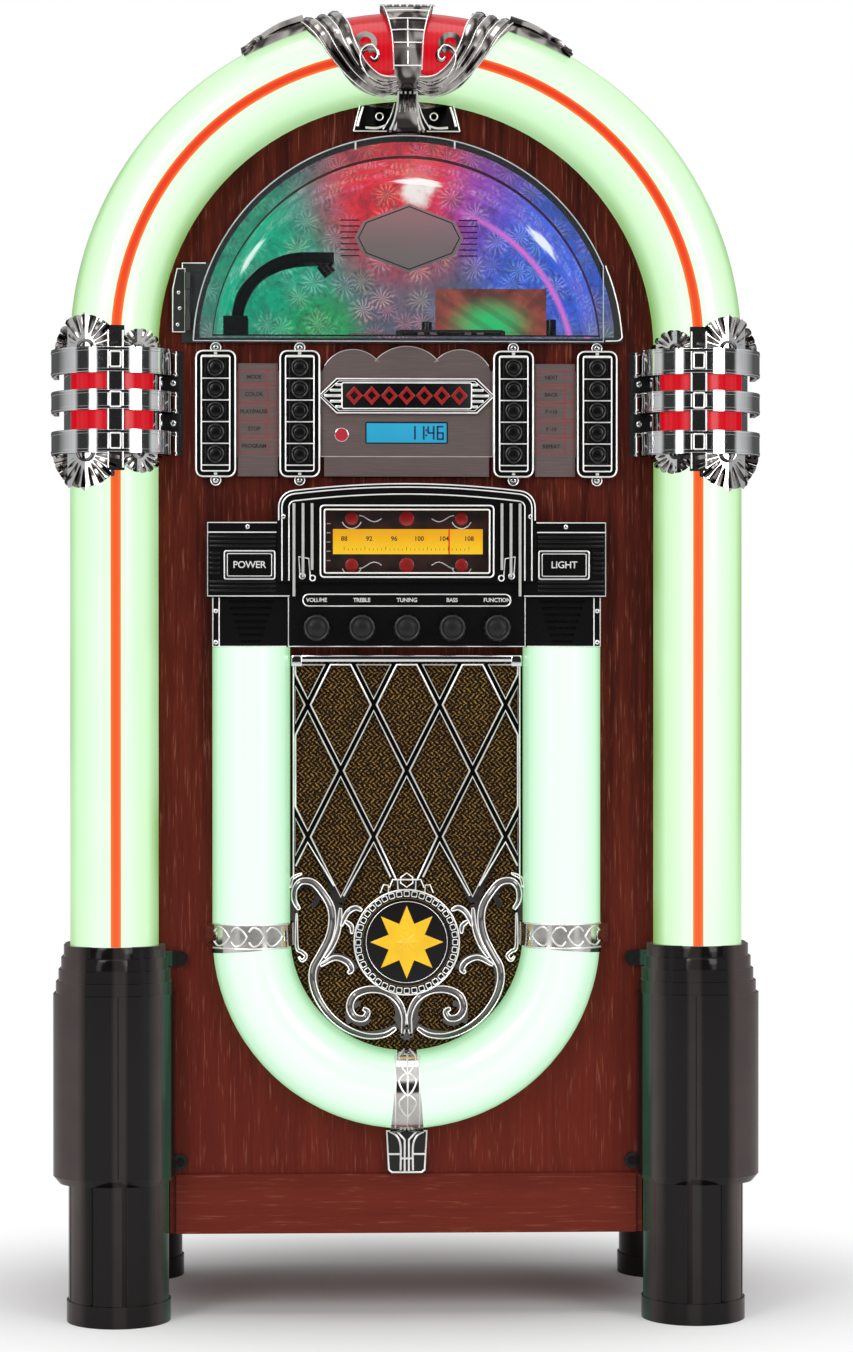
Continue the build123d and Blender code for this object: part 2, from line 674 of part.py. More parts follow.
def wing_outline():
    """Leaf that rises from the crown's foot and turns out into a finger along the tube, from the tube's peak."""
    line = ThreePointArc((4.0, -64.5), (30.0, -68.5), (52.0, -52.5))
    line += ThreePointArc((52.0, -52.5), (65.0, -35.5), (80.0, -18.5))
    line += ThreePointArc((80.0, -18.5), (104.0, -27.5), (129.0, -39.5))
    line += Polyline((129.0, -39.5), (134.0, -23.5), (104.0, 1.5), (57.0, 12.5))
    line += ThreePointArc((57.0, 12.5), (45.0, -21.5), (36.0, -44.5))
    line += ThreePointArc((36.0, -44.5), (22.0, -55.0), (4.0, -51.5))
    line += Polyline((4.0, -51.5), (4.0, -64.5))
    return make_face(line)


def shield_outline():
    """Right half of the shield between the wings, from the tube's peak."""
    return Polygon((0, -58.5), (10.5, -58.5), (10.5, -31.5), (22.0, 8.5), (0, 8.5), align=None)


def crown_neck():
    """Right half of the post that carries the shield from the flange round the tube's inner edge."""
    tube_inside = ARCH_Z + TUBE_INNER
    side_view = [(PANEL_FRONT, CROWN_FLANGE_BOTTOM), (PANEL_FRONT - 2 * CROWN_PLATE, CROWN_FLANGE_BOTTOM),
                 (TUBE_SPRING - CROWN_INSIDE / 2, tube_inside - CROWN_PLATE),
                 (TUBE_SPRING - CROWN_INSIDE, ARCH_Z + TUBE_MID - CROWN_INSIDE / 2),
                 (TUBE_SPRING - CROWN_INSIDE / 2, tube_inside - CROWN_PLATE / 3), (PANEL_FRONT, tube_inside - SEAT)]
    plane = Plane((0, 0, 0), x_dir=(0, 1, 0), z_dir=(1, 0, 0))
    neck = extrude(plane * Polygon(*side_view, align=None), amount=NECK_HALF, dir=(1, 0, 0))
    space = Pos(TUBE_MID, TUBE_SPRING) * RegularPolygon(CROWN_INSIDE / cos(pi / FACETS), FACETS)
    return neck - over_arch(space, 90 - LENS_ANGLE, 90 + LENS_ANGLE)


def crown():
    wings = Pos(0, TUBE_PEAK) * (wing_outline() + arc_bar(33.5, -30.5, 7.0, -50, 300))
    front = TUBE_SPRING - CROWN_SHIELD
    back = TUBE_SPRING + CROWN_LAP
    half = crown_shell(CROWN_WING) & slab(wings, back, front)
    half += crown_shell(CROWN_SHIELD) & slab(Pos(0, TUBE_PEAK) * shield_outline(), back, front)
    flange = Polygon((0, CROWN_FLANGE_TOP), (0, CROWN_FLANGE_BOTTOM), (CROWN_FLANGE_HALF, CROWN_FLANGE_BOTTOM),
                     (CROWN_FLANGE_HALF - CROWN_PLATE, CROWN_FLANGE_TOP), align=None)
    flange -= Pos(CROWN_HOLE_X, (CROWN_FLANGE_TOP + CROWN_FLANGE_BOTTOM) / 2) * Circle(CROWN_HOLE)
    flange &= Pos(0, ARCH_Z) * Circle(TUBE_INNER - SEAT)
    half += slab(flange, PANEL_FRONT, PANEL_FRONT - CROWN_PLATE)
    half += crown_neck()
    return half + mirror(half, about=Plane.YZ)


# Dome door, its frame and hinge

def dome_door():
    back = FRAME_FRONT - DOOR_GAP
    front = back - DOOR_DEPTH
    outline = dome(DOOR_RADIUS, DOOR_BOTTOM, DOOR_RIGHT)
    cover = slab(outline, back, front)
    cover = chamfer(cover.faces().sort_by(Axis.Y)[0].edges(), DOOR_BEVEL)
    cover -= slab(offset(outline, -DOOR_WALL), back, back - DOOR_DEPTH + DOOR_BEVEL)
    cover -= slab(offset(outline, -DOOR_WALL - DOOR_BEVEL), back, front + DOOR_WALL)
    low, first, second, high = KNUCKLES
    ear_left = HINGE_X + BARREL_RADIUS / 2
    ear = block((ear_left, -BAY_OPENING), (back - DOOR_WALL, back), (first + SLIDE, second - SLIDE))
    ear += block((HINGE_X + BARREL_RADIUS + SWING, -BAY_OPENING), (back - DOOR_WALL, back), (DOOR_BOTTOM, EAR_TOP))
    ear -= slab(offset(outline, -DOOR_WALL), back, front)
    knuckle = rod(BARREL_RADIUS, (HINGE_X, HINGE_Y, first + SLIDE), (HINGE_X, HINGE_Y, second - SLIDE))
    bore = rod(HINGE_PIN + SHAFT_GAP, (HINGE_X, HINGE_Y, low), (HINGE_X, HINGE_Y, high))
    width, height = LATCH_BLOCK
    latch = slab(front_box(0, ARCH_Z + DOOR_RADIUS - height / 2, width, height), back, front)
    return cover + latch + ear + knuckle - bore


def door_frame():
    ring = dome(DOOR_RADIUS, DOOR_BOTTOM, LATCH_OUTER) - dome(BAY_OPENING, BAY_FLOOR, BAY_OPENING)
    low, first, second, high = KNUCKLES
    tab_left = HINGE_PLATE[1] - DOOR_WALL
    tab = between((tab_left, -BAY_OPENING), (DOOR_BOTTOM, TAB_TOP))
    frame = slab(ring + (tab - dome(BAY_OPENING, BAY_FLOOR, BAY_OPENING)), PANEL_FRONT, FRAME_FRONT)
    latch_left = DOOR_RIGHT + SWING
    latch = dome(LATCH_OUTER, LATCH_BOTTOM, LATCH_OUTER) & front_box(
        (latch_left + LATCH_OUTER) / 2, ARCH_Z + DOOR_RADIUS / 2, LATCH_OUTER - latch_left, DOOR_RADIUS)
    frame += slab(latch, PANEL_FRONT, PANEL_FRONT - LATCH_DEPTH)
    left, right = HINGE_PLATE
    bevel = (HINGE_PLATE_TOP - HINGE_PLATE_BOTTOM) / 3
    plate = Polygon((left, HINGE_PLATE_BOTTOM), (right, HINGE_PLATE_BOTTOM), (right, HINGE_PLATE_TOP),
                    (left + DOOR_WALL, HINGE_PLATE_TOP), (left, HINGE_PLATE_TOP - bevel))
    frame += slab(plate, PANEL_FRONT, FRAME_FRONT)
    for start, end in ((low, first), (second, high)):
        frame += rod(BARREL_RADIUS, (HINGE_X, HINGE_Y, start), (HINGE_X, HINGE_Y, end))
        frame += block((HINGE_X - BARREL_RADIUS, HINGE_X), (HINGE_Y, PANEL_FRONT), (start, end))
    frame += rod(HINGE_PIN, (HINGE_X, HINGE_Y, low), (HINGE_X, HINGE_Y, high))
    return frame


# Disc bay and player

def disc_bay():
    outer = dome(BAY_OPENING + BAY_WALL, BAY_FLOOR - DECK_T, BAY_OPENING + BAY_WALL)
    inner = dome(BAY_OPENING, BAY_FLOOR - 2 * DECK_T, BAY_OPENING)
    wall = slab(outer - inner, BAY_BACK, PANEL_REAR)
    back = slab(outer, BAY_BACK + BAY_WALL, BAY_BACK)
    flange = dome(BAY_OPENING + BAY_FLANGE, BAY_FLOOR, BAY_OPENING + BAY_FLANGE) - outer
    return wall + back + slab(flange, PANEL_REAR + BAY_WALL, PANEL_REAR)


def disc_deck():
    half = sqrt(BAY_OPENING ** 2 - (BAY_FLOOR - ARCH_Z) ** 2) - SEAT
    deck = block((-half, half), (PANEL_REAR + SEAT, BAY_BACK - SEAT), (BAY_FLOOR - DECK_T, BAY_FLOOR))
    deck += block((-half, half), (PANEL_FRONT, PANEL_REAR + APRON_LAP), (BAY_FLOOR, BAY_FLOOR + APRON_T))
    well_floor = BAY_FLOOR - WELL_DEPTH
    deck -= upright(Pos(DISC_X, DISC_Y) * Circle(DISC_WELL), well_floor, BAY_FLOOR)
    deck -= upright(Pos(DISC_X, DISC_Y) * Circle(HUB_SHAFT + SHAFT_GAP), BAY_FLOOR - DECK_T, BAY_FLOOR)
    left, right, height = KEY_BAR
    deck += block((left, right), (PANEL_REAR + SEAT, PANEL_REAR + PANEL), (BAY_FLOOR, BAY_FLOOR + height))
    left, right, height = CARD
    deck += block((left, right), (CARD_Y, CARD_Y + CARD_T), (BAY_FLOOR, BAY_FLOOR + height))
    for x, rise in POSTS:
        deck += rod(POST_RADIUS, (x, CARD_Y, BAY_FLOOR), (x, CARD_Y, BAY_FLOOR + rise))
    deck += arm_block()
    return deck


def arm_block():
    width, depth, height = ARM_BLOCK
    side = ARM_WIDTH / 2 + SLIDE
    left = ARM_PIVOT_X - width / 2
    right = ARM_PIVOT_X + ARM_THICK
    cheeks = block((left, right), (DISC_Y - depth / 2, DISC_Y + depth / 2), (BAY_FLOOR, BAY_FLOOR + height))
    slot_left = ARM_PIVOT_X - ARM_THICK
    cheeks -= block((slot_left, right), (DISC_Y - side, DISC_Y + side), (BAY_FLOOR, BAY_FLOOR + height))
    pin = rod(ARM_PIN, (ARM_PIVOT_X, DISC_Y - depth / 2, ARM_PIVOT_Z), (ARM_PIVOT_X, DISC_Y + depth / 2, ARM_PIVOT_Z))
    return cheeks + pin


def disc_arm():
    bend_x = ARM_PIVOT_X + ARM_REACH
    half = ARM_THICK / 2
    arc = CenterArc((bend_x, ARM_PIVOT_Z), ARM_REACH, 90, 90)
    arm = SlotArc(arc, ARM_THICK) + Pos(ARM_PIVOT_X, ARM_PIVOT_Z) * Circle(half + ARM_BOSS)
    length, thick = ARM_HEAD
    head_z = ARM_PIVOT_Z + ARM_REACH
    arm += Pos(bend_x + length / 2, head_z) * Rectangle(length, thick)
    shape = slab(arm, DISC_Y + ARM_WIDTH / 2, DISC_Y - ARM_WIDTH / 2)
    radius, reach = PRESSER
    tip_z = BAY_FLOOR - WELL_DEPTH + SEAT + HUB_HEIGHT + SPINDLE_HEIGHT + ARM_CLEARANCE
    presser = rod(radius, (DISC_X, DISC_Y, tip_z), (DISC_X, DISC_Y, tip_z + reach))
    pivot = Axis((ARM_PIVOT_X, DISC_Y, ARM_PIVOT_Z), (0, -1, 0))
    shape += presser.rotate(pivot, ARM_DROP)
    bore = rod(ARM_PIN + SHAFT_GAP, (ARM_PIVOT_X, DISC_Y - ARM_WIDTH, ARM_PIVOT_Z),
               (ARM_PIVOT_X, DISC_Y + ARM_WIDTH, ARM_PIVOT_Z))
    return shape - bore


def disc_hub():
    floor = BAY_FLOOR - WELL_DEPTH + SEAT
    hub = upright(Pos(DISC_X, DISC_Y) * Circle(HUB_RADIUS), floor, floor + HUB_HEIGHT)
    top = floor + HUB_HEIGHT + SPINDLE_HEIGHT
    hub += upright(Pos(DISC_X, DISC_Y) * Circle(SPINDLE_RADIUS), floor, top)
    hub += upright(Pos(DISC_X, DISC_Y) * Circle(HUB_SHAFT), BAY_FLOOR - DECK_T, floor)
    drive = Pos(DISC_X, DISC_Y) * Rectangle(HUB_SHAFT, 2 * (SPINDLE_RADIUS + DRIVE_END))
    return hub + upright(drive, floor, floor + HUB_HEIGHT + SPINDLE_HEIGHT / 2)


# Disc control panel

def lobe(x, top, radius):
    return Pos(x, top - radius) * Circle(radius)


def control_plate():
    middle = front_box(0, (PLATE_BOTTOM + PLATE_TOP) / 2, 2 * PLATE_HALF, PLATE_TOP - PLATE_BOTTOM)
    foot_half = PLATE_HALF - BADGE_RISE
    middle += front_box(0, (PLATE_FOOT + PLATE_BOTTOM) / 2, 2 * foot_half, PLATE_BOTTOM - PLATE_FOOT)
    cloud = lobe(*LOBE_MIDDLE) + lobe(*LOBE_SIDE)
    cloud += mirror(lobe(*LOBE_SIDE), about=Plane.YZ)
    cloud &= front_box(0, PLATE_TOP + BADGE_POINT, 2 * PLATE_HALF, 2 * BADGE_POINT)
    middle += cloud
    centre = slab(middle, PANEL_FRONT, PANEL_FRONT - PLATE_T)
    width, height, z = BADGE
    half = width / 2
    badge = Polygon((-half, z), (BADGE_POINT - half, z + height / 2), (half - BADGE_POINT, z + height / 2),
                    (half, z), (half - BADGE_POINT, z - height / 2), (BADGE_POINT - half, z - height / 2))
    badge &= front_box(0, z, 2 * (PLATE_HALF - LABEL_GAP), height)
    centre += slab(badge, PANEL_FRONT, PANEL_FRONT - PLATE_T - BADGE_RISE)
    lcd_width, lcd_height, lcd_z = LCD
    centre -= slab(front_box(0, lcd_z, lcd_width + 2 * SEAT, lcd_height + 2 * SEAT), PANEL_FRONT,
                   PANEL_FRONT - PLATE_T)
    x, z, radius = SENSOR
    centre -= slab(Pos(x, z) * Circle(radius + SEAT), PANEL_FRONT, PANEL_FRONT - PLATE_T)
    inner = BANK_X[2] + BEZEL_WIDTH / 2 + LABEL_GAP
    outer = BANK_X[3] - BEZEL_WIDTH / 2 - LABEL_GAP
    label = between((inner, outer), (PLATE_BOTTOM, PLATE_TOP))
    step, rise = LABEL_STEP
    label += between((inner + step, outer - step), (PLATE_FOOT, PLATE_TOP + rise))
    return [centre] + both_sides(slab(label, PANEL_FRONT, PANEL_FRONT - PLATE_T))


def key_height(row):
    return KEY_MIDDLE + (row - (KEY_ROWS - 1) / 2) * KEY_PITCH


def tab_heights():
    """Heights of the screw tabs above and below a key bezel."""
    reach = BEZEL_SCREW + SEAT
    return (BEZEL_BOTTOM - reach, BEZEL_TOP + reach)


def key_bezel(x):
    middle = (BEZEL_BOTTOM + BEZEL_TOP) / 2
    height = BEZEL_TOP - BEZEL_BOTTOM
    face = Pos(x, middle) * RectangleRounded(BEZEL_WIDTH, height, BEZEL_CORNER)
    bezel = slab(face, PANEL_FRONT, BEZEL_FRONT)
    for z in tab_heights():
        bezel += slab(Pos(x, z) * Circle(BEZEL_TAB), PANEL_FRONT, PANEL_FRONT - PLATE_T)
    rim = front_box(x, middle, BEZEL_RIM, height - 2 * BEZEL_MARGIN)
    bezel += slab(rim, BEZEL_FRONT, RIM_FRONT)
    windows = [front_box(x, key_height(row), KEY_WIDTH + 2 * SLIDE, KEY_HEIGHT + 2 * SLIDE)
               for row in range(KEY_ROWS)]
    return bezel - slab(Sketch() + windows, PANEL_FRONT, RIM_FRONT)


def key(x, row):
    front = RIM_FRONT - KEY_PROUD
    cap = slab(front_box(x, key_height(row), KEY_WIDTH, KEY_HEIGHT), KEY_BACK, front)
    return chamfer(cap.faces().sort_by(Axis.Y)[0].edges(), KEY_CHAMFER)


def display_windows():
    width, height, z = LCD
    lcd = slab(front_box(0, z, width, height), PANEL_FRONT, PANEL_FRONT - LCD_DEPTH)
    x, z, radius = SENSOR
    sensor = slab(Pos(x, z) * Circle(radius), PANEL_FRONT, PANEL_FRONT - PLATE_T - SENSOR_RISE)
    return [lcd, sensor]


# Radio panel

def tower_outline():
    shoulder = TOWER_HALF - TOWER_CORNER
    corner = TOWER_CORNER * (1 - sqrt(0.5))
    line = Polyline((-TOWER_HALF, TOWER_SHOULDER - TOWER_CORNER), (-TOWER_HALF, KNOB_PANEL_TOP),
                    (TOWER_HALF, KNOB_PANEL_TOP), (TOWER_HALF, TOWER_SHOULDER - TOWER_CORNER))
    line += ThreePointArc((TOWER_HALF, TOWER_SHOULDER - TOWER_CORNER),
                          (TOWER_HALF - corner, TOWER_SHOULDER - corner), (shoulder, TOWER_SHOULDER))
    line += ThreePointArc((shoulder, TOWER_SHOULDER), (0, TOWER_TOP), (-shoulder, TOWER_SHOULDER))
    line += ThreePointArc((-shoulder, TOWER_SHOULDER), (corner - TOWER_HALF, TOWER_SHOULDER - corner),
                          (-TOWER_HALF, TOWER_SHOULDER - TOWER_CORNER))
    return make_face(line)


def radio_bezel():
    wing = slab(between((WING_INNER, WING_OUTER), (WING_BOTTOM, WING_TOP)), PANEL_FRONT, PANEL_FRONT - WING_DEPTH)
    button_space = front_box(BUTTON_X, BUTTON_Z, BUTTON_WIDTH + 2 * SLIDE, BUTTON_HEIGHT + 2 * SLIDE)
    button_rim = front_box(BUTTON_X, BUTTON_Z, BUTTON_WIDTH + 2 * BUTTON_RIM, BUTTON_HEIGHT + 2 * BUTTON_RIM)
    rim_front = PANEL_FRONT - WING_DEPTH - BUTTON_RIM_RISE
    wing += slab(button_rim, PANEL_FRONT, rim_front)
    louvre = slab(between((WING_INNER, LOUVRE_OUTER), (LOUVRE_BOTTOM, WING_BOTTOM)), PANEL_FRONT,
                  PANEL_FRONT - LOUVRE_DEPTH)
    louvre_x = (WING_INNER + LOUVRE_OUTER) / 2
    for row in range(LOUVRES):
        z = WING_BOTTOM - LOUVRE_FIRST - row * LOUVRE_PITCH
        slot = front_box(louvre_x, z, LOUVRE_WIDTH - row * LOUVRE_TAPER, LOUVRE_SLOT)
        louvre -= slab(slot, PANEL_FRONT - LOUVRE_DEPTH + LOUVRE_SLOT, PANEL_FRONT - LOUVRE_DEPTH)
    side = wing + louvre - slab(button_space, PANEL_FRONT, rim_front)
    knobs = slab(between((-KNOB_PANEL_HALF, KNOB_PANEL_HALF), (LOUVRE_BOTTOM, KNOB_PANEL_TOP)), PANEL_FRONT,
                 PANEL_FRONT - KNOB_PANEL_DEPTH)
    tower = slab(tower_outline(), PANEL_FRONT, PANEL_FRONT - TOWER_DEPTH)
    dial = front_box(0, DIAL_Z, DIAL_WIDTH, DIAL_HEIGHT)
    tower += slab(dial, PANEL_FRONT, PANEL_FRONT - TOWER_DEPTH - DIAL_RIM_RISE)
    bezel = tower + knobs + side + mirror(side, about=Plane.YZ)
    for rib, length in enumerate(RIB_LENGTHS):
        x = RIB_FIRST - rib * RIB_PITCH
        bar = slab(between((x - RIB_T / 2, x + RIB_T / 2), (RIB_TOP - length, RIB_TOP)), PANEL_FRONT - TOWER_DEPTH,
                   PANEL_FRONT - TOWER_DEPTH - RIB_T)
        bezel += bar
        bezel += mirror(bar, about=Plane.YZ)
    width, height, z = STRIP_PILL
    pill = slab(Pos(0, z) * SlotOverall(width, height), PANEL_FRONT, PANEL_FRONT - KNOB_PANEL_DEPTH - STRIP_PILL_RISE)
    bezel += pill
    bezel -= slab(front_box(0, DIAL_Z, DIAL_WIDTH - 2 * DIAL_RIM, DIAL_HEIGHT - 2 * DIAL_RIM), PANEL_FRONT,
                  PANEL_FRONT - TOWER_DEPTH - DIAL_RIM_RISE)
    for place in range(-2, 3):
        bore = Pos(place * KNOB_PITCH, KNOB_Z) * Circle(KNOB_SHAFT + SHAFT_GAP)
        bezel -= slab(bore, PANEL_FRONT, PANEL_FRONT - KNOB_PANEL_DEPTH)
    return bezel


def dial_scale():
    opening = front_box(0, DIAL_Z, DIAL_WIDTH - 2 * DIAL_RIM - 2 * SEAT, DIAL_HEIGHT - 2 * DIAL_RIM - 2 * SEAT)
    return slab(opening, PANEL_FRONT, PANEL_FRONT - DIAL_DEPTH)


def dial_pointer():
    back = PANEL_FRONT - DIAL_DEPTH - SLIDE
    needle = front_box(POINTER_X, DIAL_Z, POINTER_T, POINTER_HEIGHT)
    return slab(needle, back, back - POINTER_T)


def push_button(side):
    front = PANEL_FRONT - WING_DEPTH - BUTTON_RIM_RISE - BUTTON_PROUD
    back = PANEL_FRONT - KEY_FLOOR - BUTTON_TRAVEL
    cap = slab(front_box(side * BUTTON_X, BUTTON_Z, BUTTON_WIDTH, BUTTON_HEIGHT), back, front)
    return chamfer(cap.faces().sort_by(Axis.Y)[0].edges(), KEY_CHAMFER)


def knob(place):
    x = place * KNOB_PITCH
    points = []
    for tooth in range(2 * KNOB_TEETH):
        angle = pi * tooth / KNOB_TEETH
        radius = KNOB_RADIUS - (tooth % 2) * KNOB_TOOTH
        points.append((x + radius * cos(angle), KNOB_Z + radius * sin(angle)))
    back = PANEL_FRONT - KNOB_PANEL_DEPTH - KNOB_LIFT
    grip = slab(Polygon(*points), back, back - KNOB_LENGTH)
    shaft = slab(Pos(x, KNOB_Z) * Circle(KNOB_SHAFT), PANEL_FRONT, back)
    return grip + shaft


# Speaker grille

def grille_outline(half, bottom_radius):
    face = front_box(0, (U_Z + GRILLE_TOP) / 2, 2 * half, GRILLE_TOP - U_Z)
    return face + Pos(0, U_Z) * Circle(bottom_radius)


def lattice():
    """Diamond lattice between the top bar and the last row of crossings."""
    bars = []
    length = 2 * sqrt(LATTICE_X ** 2 + LATTICE_Z ** 2) * LATTICE_ROWS
    angle = degrees(asin(LATTICE_Z / sqrt(LATTICE_X ** 2 + LATTICE_Z ** 2)))
    for column in range(-7, 8, 2):
        for way in (-1, 1):
            bar = Rectangle(2 * length, LATTICE_BAR)
            bars.append(Pos(column * LATTICE_X, LATTICE_ROW) * Rot(0, 0, way * angle) * bar)
    region = between((-GRILLE_HALF, GRILLE_HALF), (LATTICE_END, GRILLE_TOP))
    return (Sketch() + bars) & region


def scrolls():
    """The left half of the scrollwork is the mirror image of this right half."""
    half = arc_bar(81.0, 338.0, 9.5, -30, 270)
    half += arc_bar(100.0, 325.0, 44.0, 150, 50)
    half += arc_bar(30.5, 270.0, 42.5, -122, 142)
    half += arc_bar(27.0, 243.0, 20.0, -20, 215)
    half += arc_bar(36.8, 244.0, 8.0, -150, 240)
    half += arc_bar(57.0, 272.0, 18.0, 10, 145)
    half += straight_bar((52.8, 331.0), (61.0, 288.0))
    half += straight_bar((91.3, 334.0), (91.3, 311.0))
    half += straight_bar((0.0, 223.0), (9.0, 242.0))
    return mirrored(half)


def grille_frame():
    back = PANEL_FRONT - CLOTH_T
    front = back - LATTICE_T
    face = lattice() + scrolls()
    edge = between((GRILLE_HALF - EDGE_BAR, GRILLE_HALF), (LATTICE_END, GRILLE_TOP))
    face += mirrored(edge)
    face += between((-GRILLE_HALF, GRILLE_HALF), (GRILLE_TOP - TOP_BAR, GRILLE_TOP))
    face &= grille_outline(GRILLE_HALF, GRILLE_HALF)
    face -= Pos(0, MEDALLION_Z) * Circle(MEDALLION_DISC)
    frame = slab(face, back, front)
    ring = Pos(0, MEDALLION_Z) * (Circle(MEDALLION_RADIUS) - Circle(MEDALLION_DISC))
    return frame + slab(ring, back, back - MEDALLION_RISE)


def grille_cloth():
    return slab(grille_outline(GRILLE_HALF, GRILLE_HALF), PANEL_FRONT, PANEL_FRONT - CLOTH_T)


def medallion():
    back = PANEL_FRONT - CLOTH_T
    disc = slab(Pos(0, MEDALLION_Z) * Circle(MEDALLION_DISC - SEAT), back, back - LATTICE_T)
    points = []
    for corner in range(2 * STAR_POINTS):
        angle = pi * corner / STAR_POINTS
        radius = STAR_NOTCH if corner % 2 else STAR_RADIUS
        points.append((radius * cos(angle), MEDALLION_Z + radius * sin(angle)))
    star = slab(Polygon(*points), back - LATTICE_T, back - LATTICE_T - STAR_RISE)
    return [disc + star]


def tube_clips():
    radius = U_WIDTH / 2 + CLIP_GAP
    ring = ring_section(U_MID, U_SPRING, radius, radius + CLIP_WALL)
    straight = PANEL_FRONT - U_SPRING
    for side in (-1, 1):
        ring += Pos(U_MID + side * (radius + CLIP_WALL / 2), U_SPRING + straight / 2) * Rectangle(CLIP_WALL, straight)
    low_turn = degrees(asin(CLIP_HEIGHT / 2 / U_MID))
    side_clip = upright(ring, U_Z, U_Z + CLIP_HEIGHT / 2) + round_u(ring, 0, low_turn)
    half_turn = degrees(asin(FOOT_CLIP_WIDTH / 2 / U_MID))
    foot_clip = round_u(ring, 90 - half_turn, 90 + half_turn)
    cloth = slab(grille_outline(GRILLE_HALF + CLIP_GAP, GRILLE_HALF + CLIP_GAP), PANEL_FRONT,
                 PANEL_FRONT - CLOTH_T - LATTICE_T - CLIP_GAP)
    side_clip -= cloth
    foot_clip -= cloth
    width, bottom, top = END_PLATE
    plate = slab(between((-width / 2, width / 2), (bottom, top)), PANEL_FRONT, PANEL_FRONT - END_PLATE_T)
    return both_sides(side_clip) + [foot_clip, plate]


# Inside and behind

def speakers():
    found = []
    for height in SPEAKER_HEIGHTS:
        frame = slab(front_box(0, height, 2 * SPEAKER_FRAME - SEAT, 2 * SPEAKER_FRAME - SEAT), PANEL_REAR + BASKET_T,
                     PANEL_REAR)
        magnet_y = PANEL_REAR + SPEAKER_DEPTH
        front = Plane((0, PANEL_REAR + BASKET_T, height), z_dir=(0, 1, 0))
        depth = SPEAKER_DEPTH - MAGNET_T - BASKET_T
        taper = degrees(atan2((SPEAKER_HOLE - SPEAKER_MAGNET) * cos(pi / BASKET_SIDES), depth))
        cone = extrude(front * RegularPolygon(SPEAKER_HOLE, BASKET_SIDES), amount=depth, taper=taper)
        cover = Pos(0, height) * RegularPolygon(SPEAKER_MAGNET - SEAT, BASKET_SIDES)
        magnet = slab(cover, magnet_y, magnet_y - MAGNET_T)
        found.append(frame + cone + magnet)
    return found


def amplifier_board():
    width, depth, thick = CHASSIS_BOARD
    bottom = CABINET_BASE + PANEL
    back = CABINET_BACK - BACK_RECESS - BOARD
    middle = back - depth / 2 - TERMINAL_T
    board = block((-width / 2, width / 2), (middle - depth / 2, middle + depth / 2), (bottom, bottom + thick))
    length, wide, tall = TRANSFORMER
    left = TRANSFORMER_EDGE - width / 2
    bottom += thick
    board += block((left, left + length), (middle - wide / 2, middle + wide / 2), (bottom, bottom + tall))
    return board


def rear_terminals():
    width, height, middle = TERMINALS
    outer = CABINET_BACK - BACK_RECESS
    plate = slab(front_box(0, middle, width, height), outer - BOARD, outer - BOARD - TERMINAL_T)
    inlet_width, inlet_height, depth = INLET
    inlet_x = width / 2 - 2 * inlet_width
    plate += slab(front_box(inlet_x, middle, inlet_width, inlet_height), outer - SEAT, outer - BOARD)
    socket = front_box(inlet_x, middle, inlet_width - 2 * INLET_WALL, inlet_height - 2 * INLET_WALL)
    plate -= slab(socket, outer, outer - depth)
    for place in range(1, 4):
        x = -width / 2 + place * inlet_height
        plate += rod(TERMINAL_RADIUS, (x, outer - BOARD, middle), (x, outer - SEAT, middle))
    return plate


def screw(x, y, z, radius):
    """Head of a pan screw, seen from the front."""
    return slab(Pos(x, z) * Circle(radius), y, y - SCREW_RISE)


def sleeve_screws():
    found = []
    for height in LUG_HEIGHTS:
        found += both_sides(screw(lug_place(), PANEL_FRONT - SLEEVE_WALL, height, LUG_SCREW))
    return found


NODES = {
    "front_panel": front_panel,
    "cabinet_shell": cabinet_shell,
    "back_panel": back_panel,
    "plinth": plinth,
    "light_tubes": light_tubes,
    "red_strips": red_strips,
    "column_sleeves": column_sleeves,
    "legs": legs,
    "side_clamps": side_clamps,
    "red_lenses": red_lenses,
    "crown": crown,
    "dome_door": dome_door,
    "door_frame": door_frame,
    "disc_bay": disc_bay,
    "disc_deck": disc_deck,
    "disc_arm": disc_arm,
    "disc_hub": disc_hub,
    "control_plate": control_plate,
    "key_bezels": lambda: [key_bezel(x) for x in BANK_X],
    "display_windows": display_windows,
    "radio_bezel": radio_bezel,
    "dial_scale": dial_scale,
    "dial_pointer": dial_pointer,
    "power_button": lambda: push_button(-1),
    "light_button": lambda: push_button(1),
    "volume_knob": lambda: knob(-2),
    "treble_knob": lambda: knob(-1),
    "tuning_knob": lambda: knob(0),
    "bass_knob": lambda: knob(1),
    "selector_knob": lambda: knob(2),
    "grille_frame": grille_frame,
    "grille_cloth": grille_cloth,
    "medallion": medallion,
    "tube_clips": tube_clips,
    "speakers": speakers,
    "amplifier_board": amplifier_board,
    "rear_terminals": rear_terminals,
    "sleeve_screws": sleeve_screws,
}


def write(name, shape):
    if isinstance(shape, list):
        solids = [solid for piece in shape for solid in piece.solids()]
    else:
        solids = shape.solids()
    part = solids[0] if len(solids) == 1 else Compound(solids)
    export_step(part, f"parts/{name}.step")


def main():
    os.makedirs("parts", exist_ok=True)
    for name, make in NODES.items():
        write(name, make())
    for bank, x in enumerate(BANK_X, 1):
        for row in range(KEY_ROWS):
            write(f"key_{bank}_{KEY_ROWS - row}", key(x, row))


main()
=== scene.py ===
from functools import partialmethod
from math import atan2, cos, pi, radians, sin, sqrt

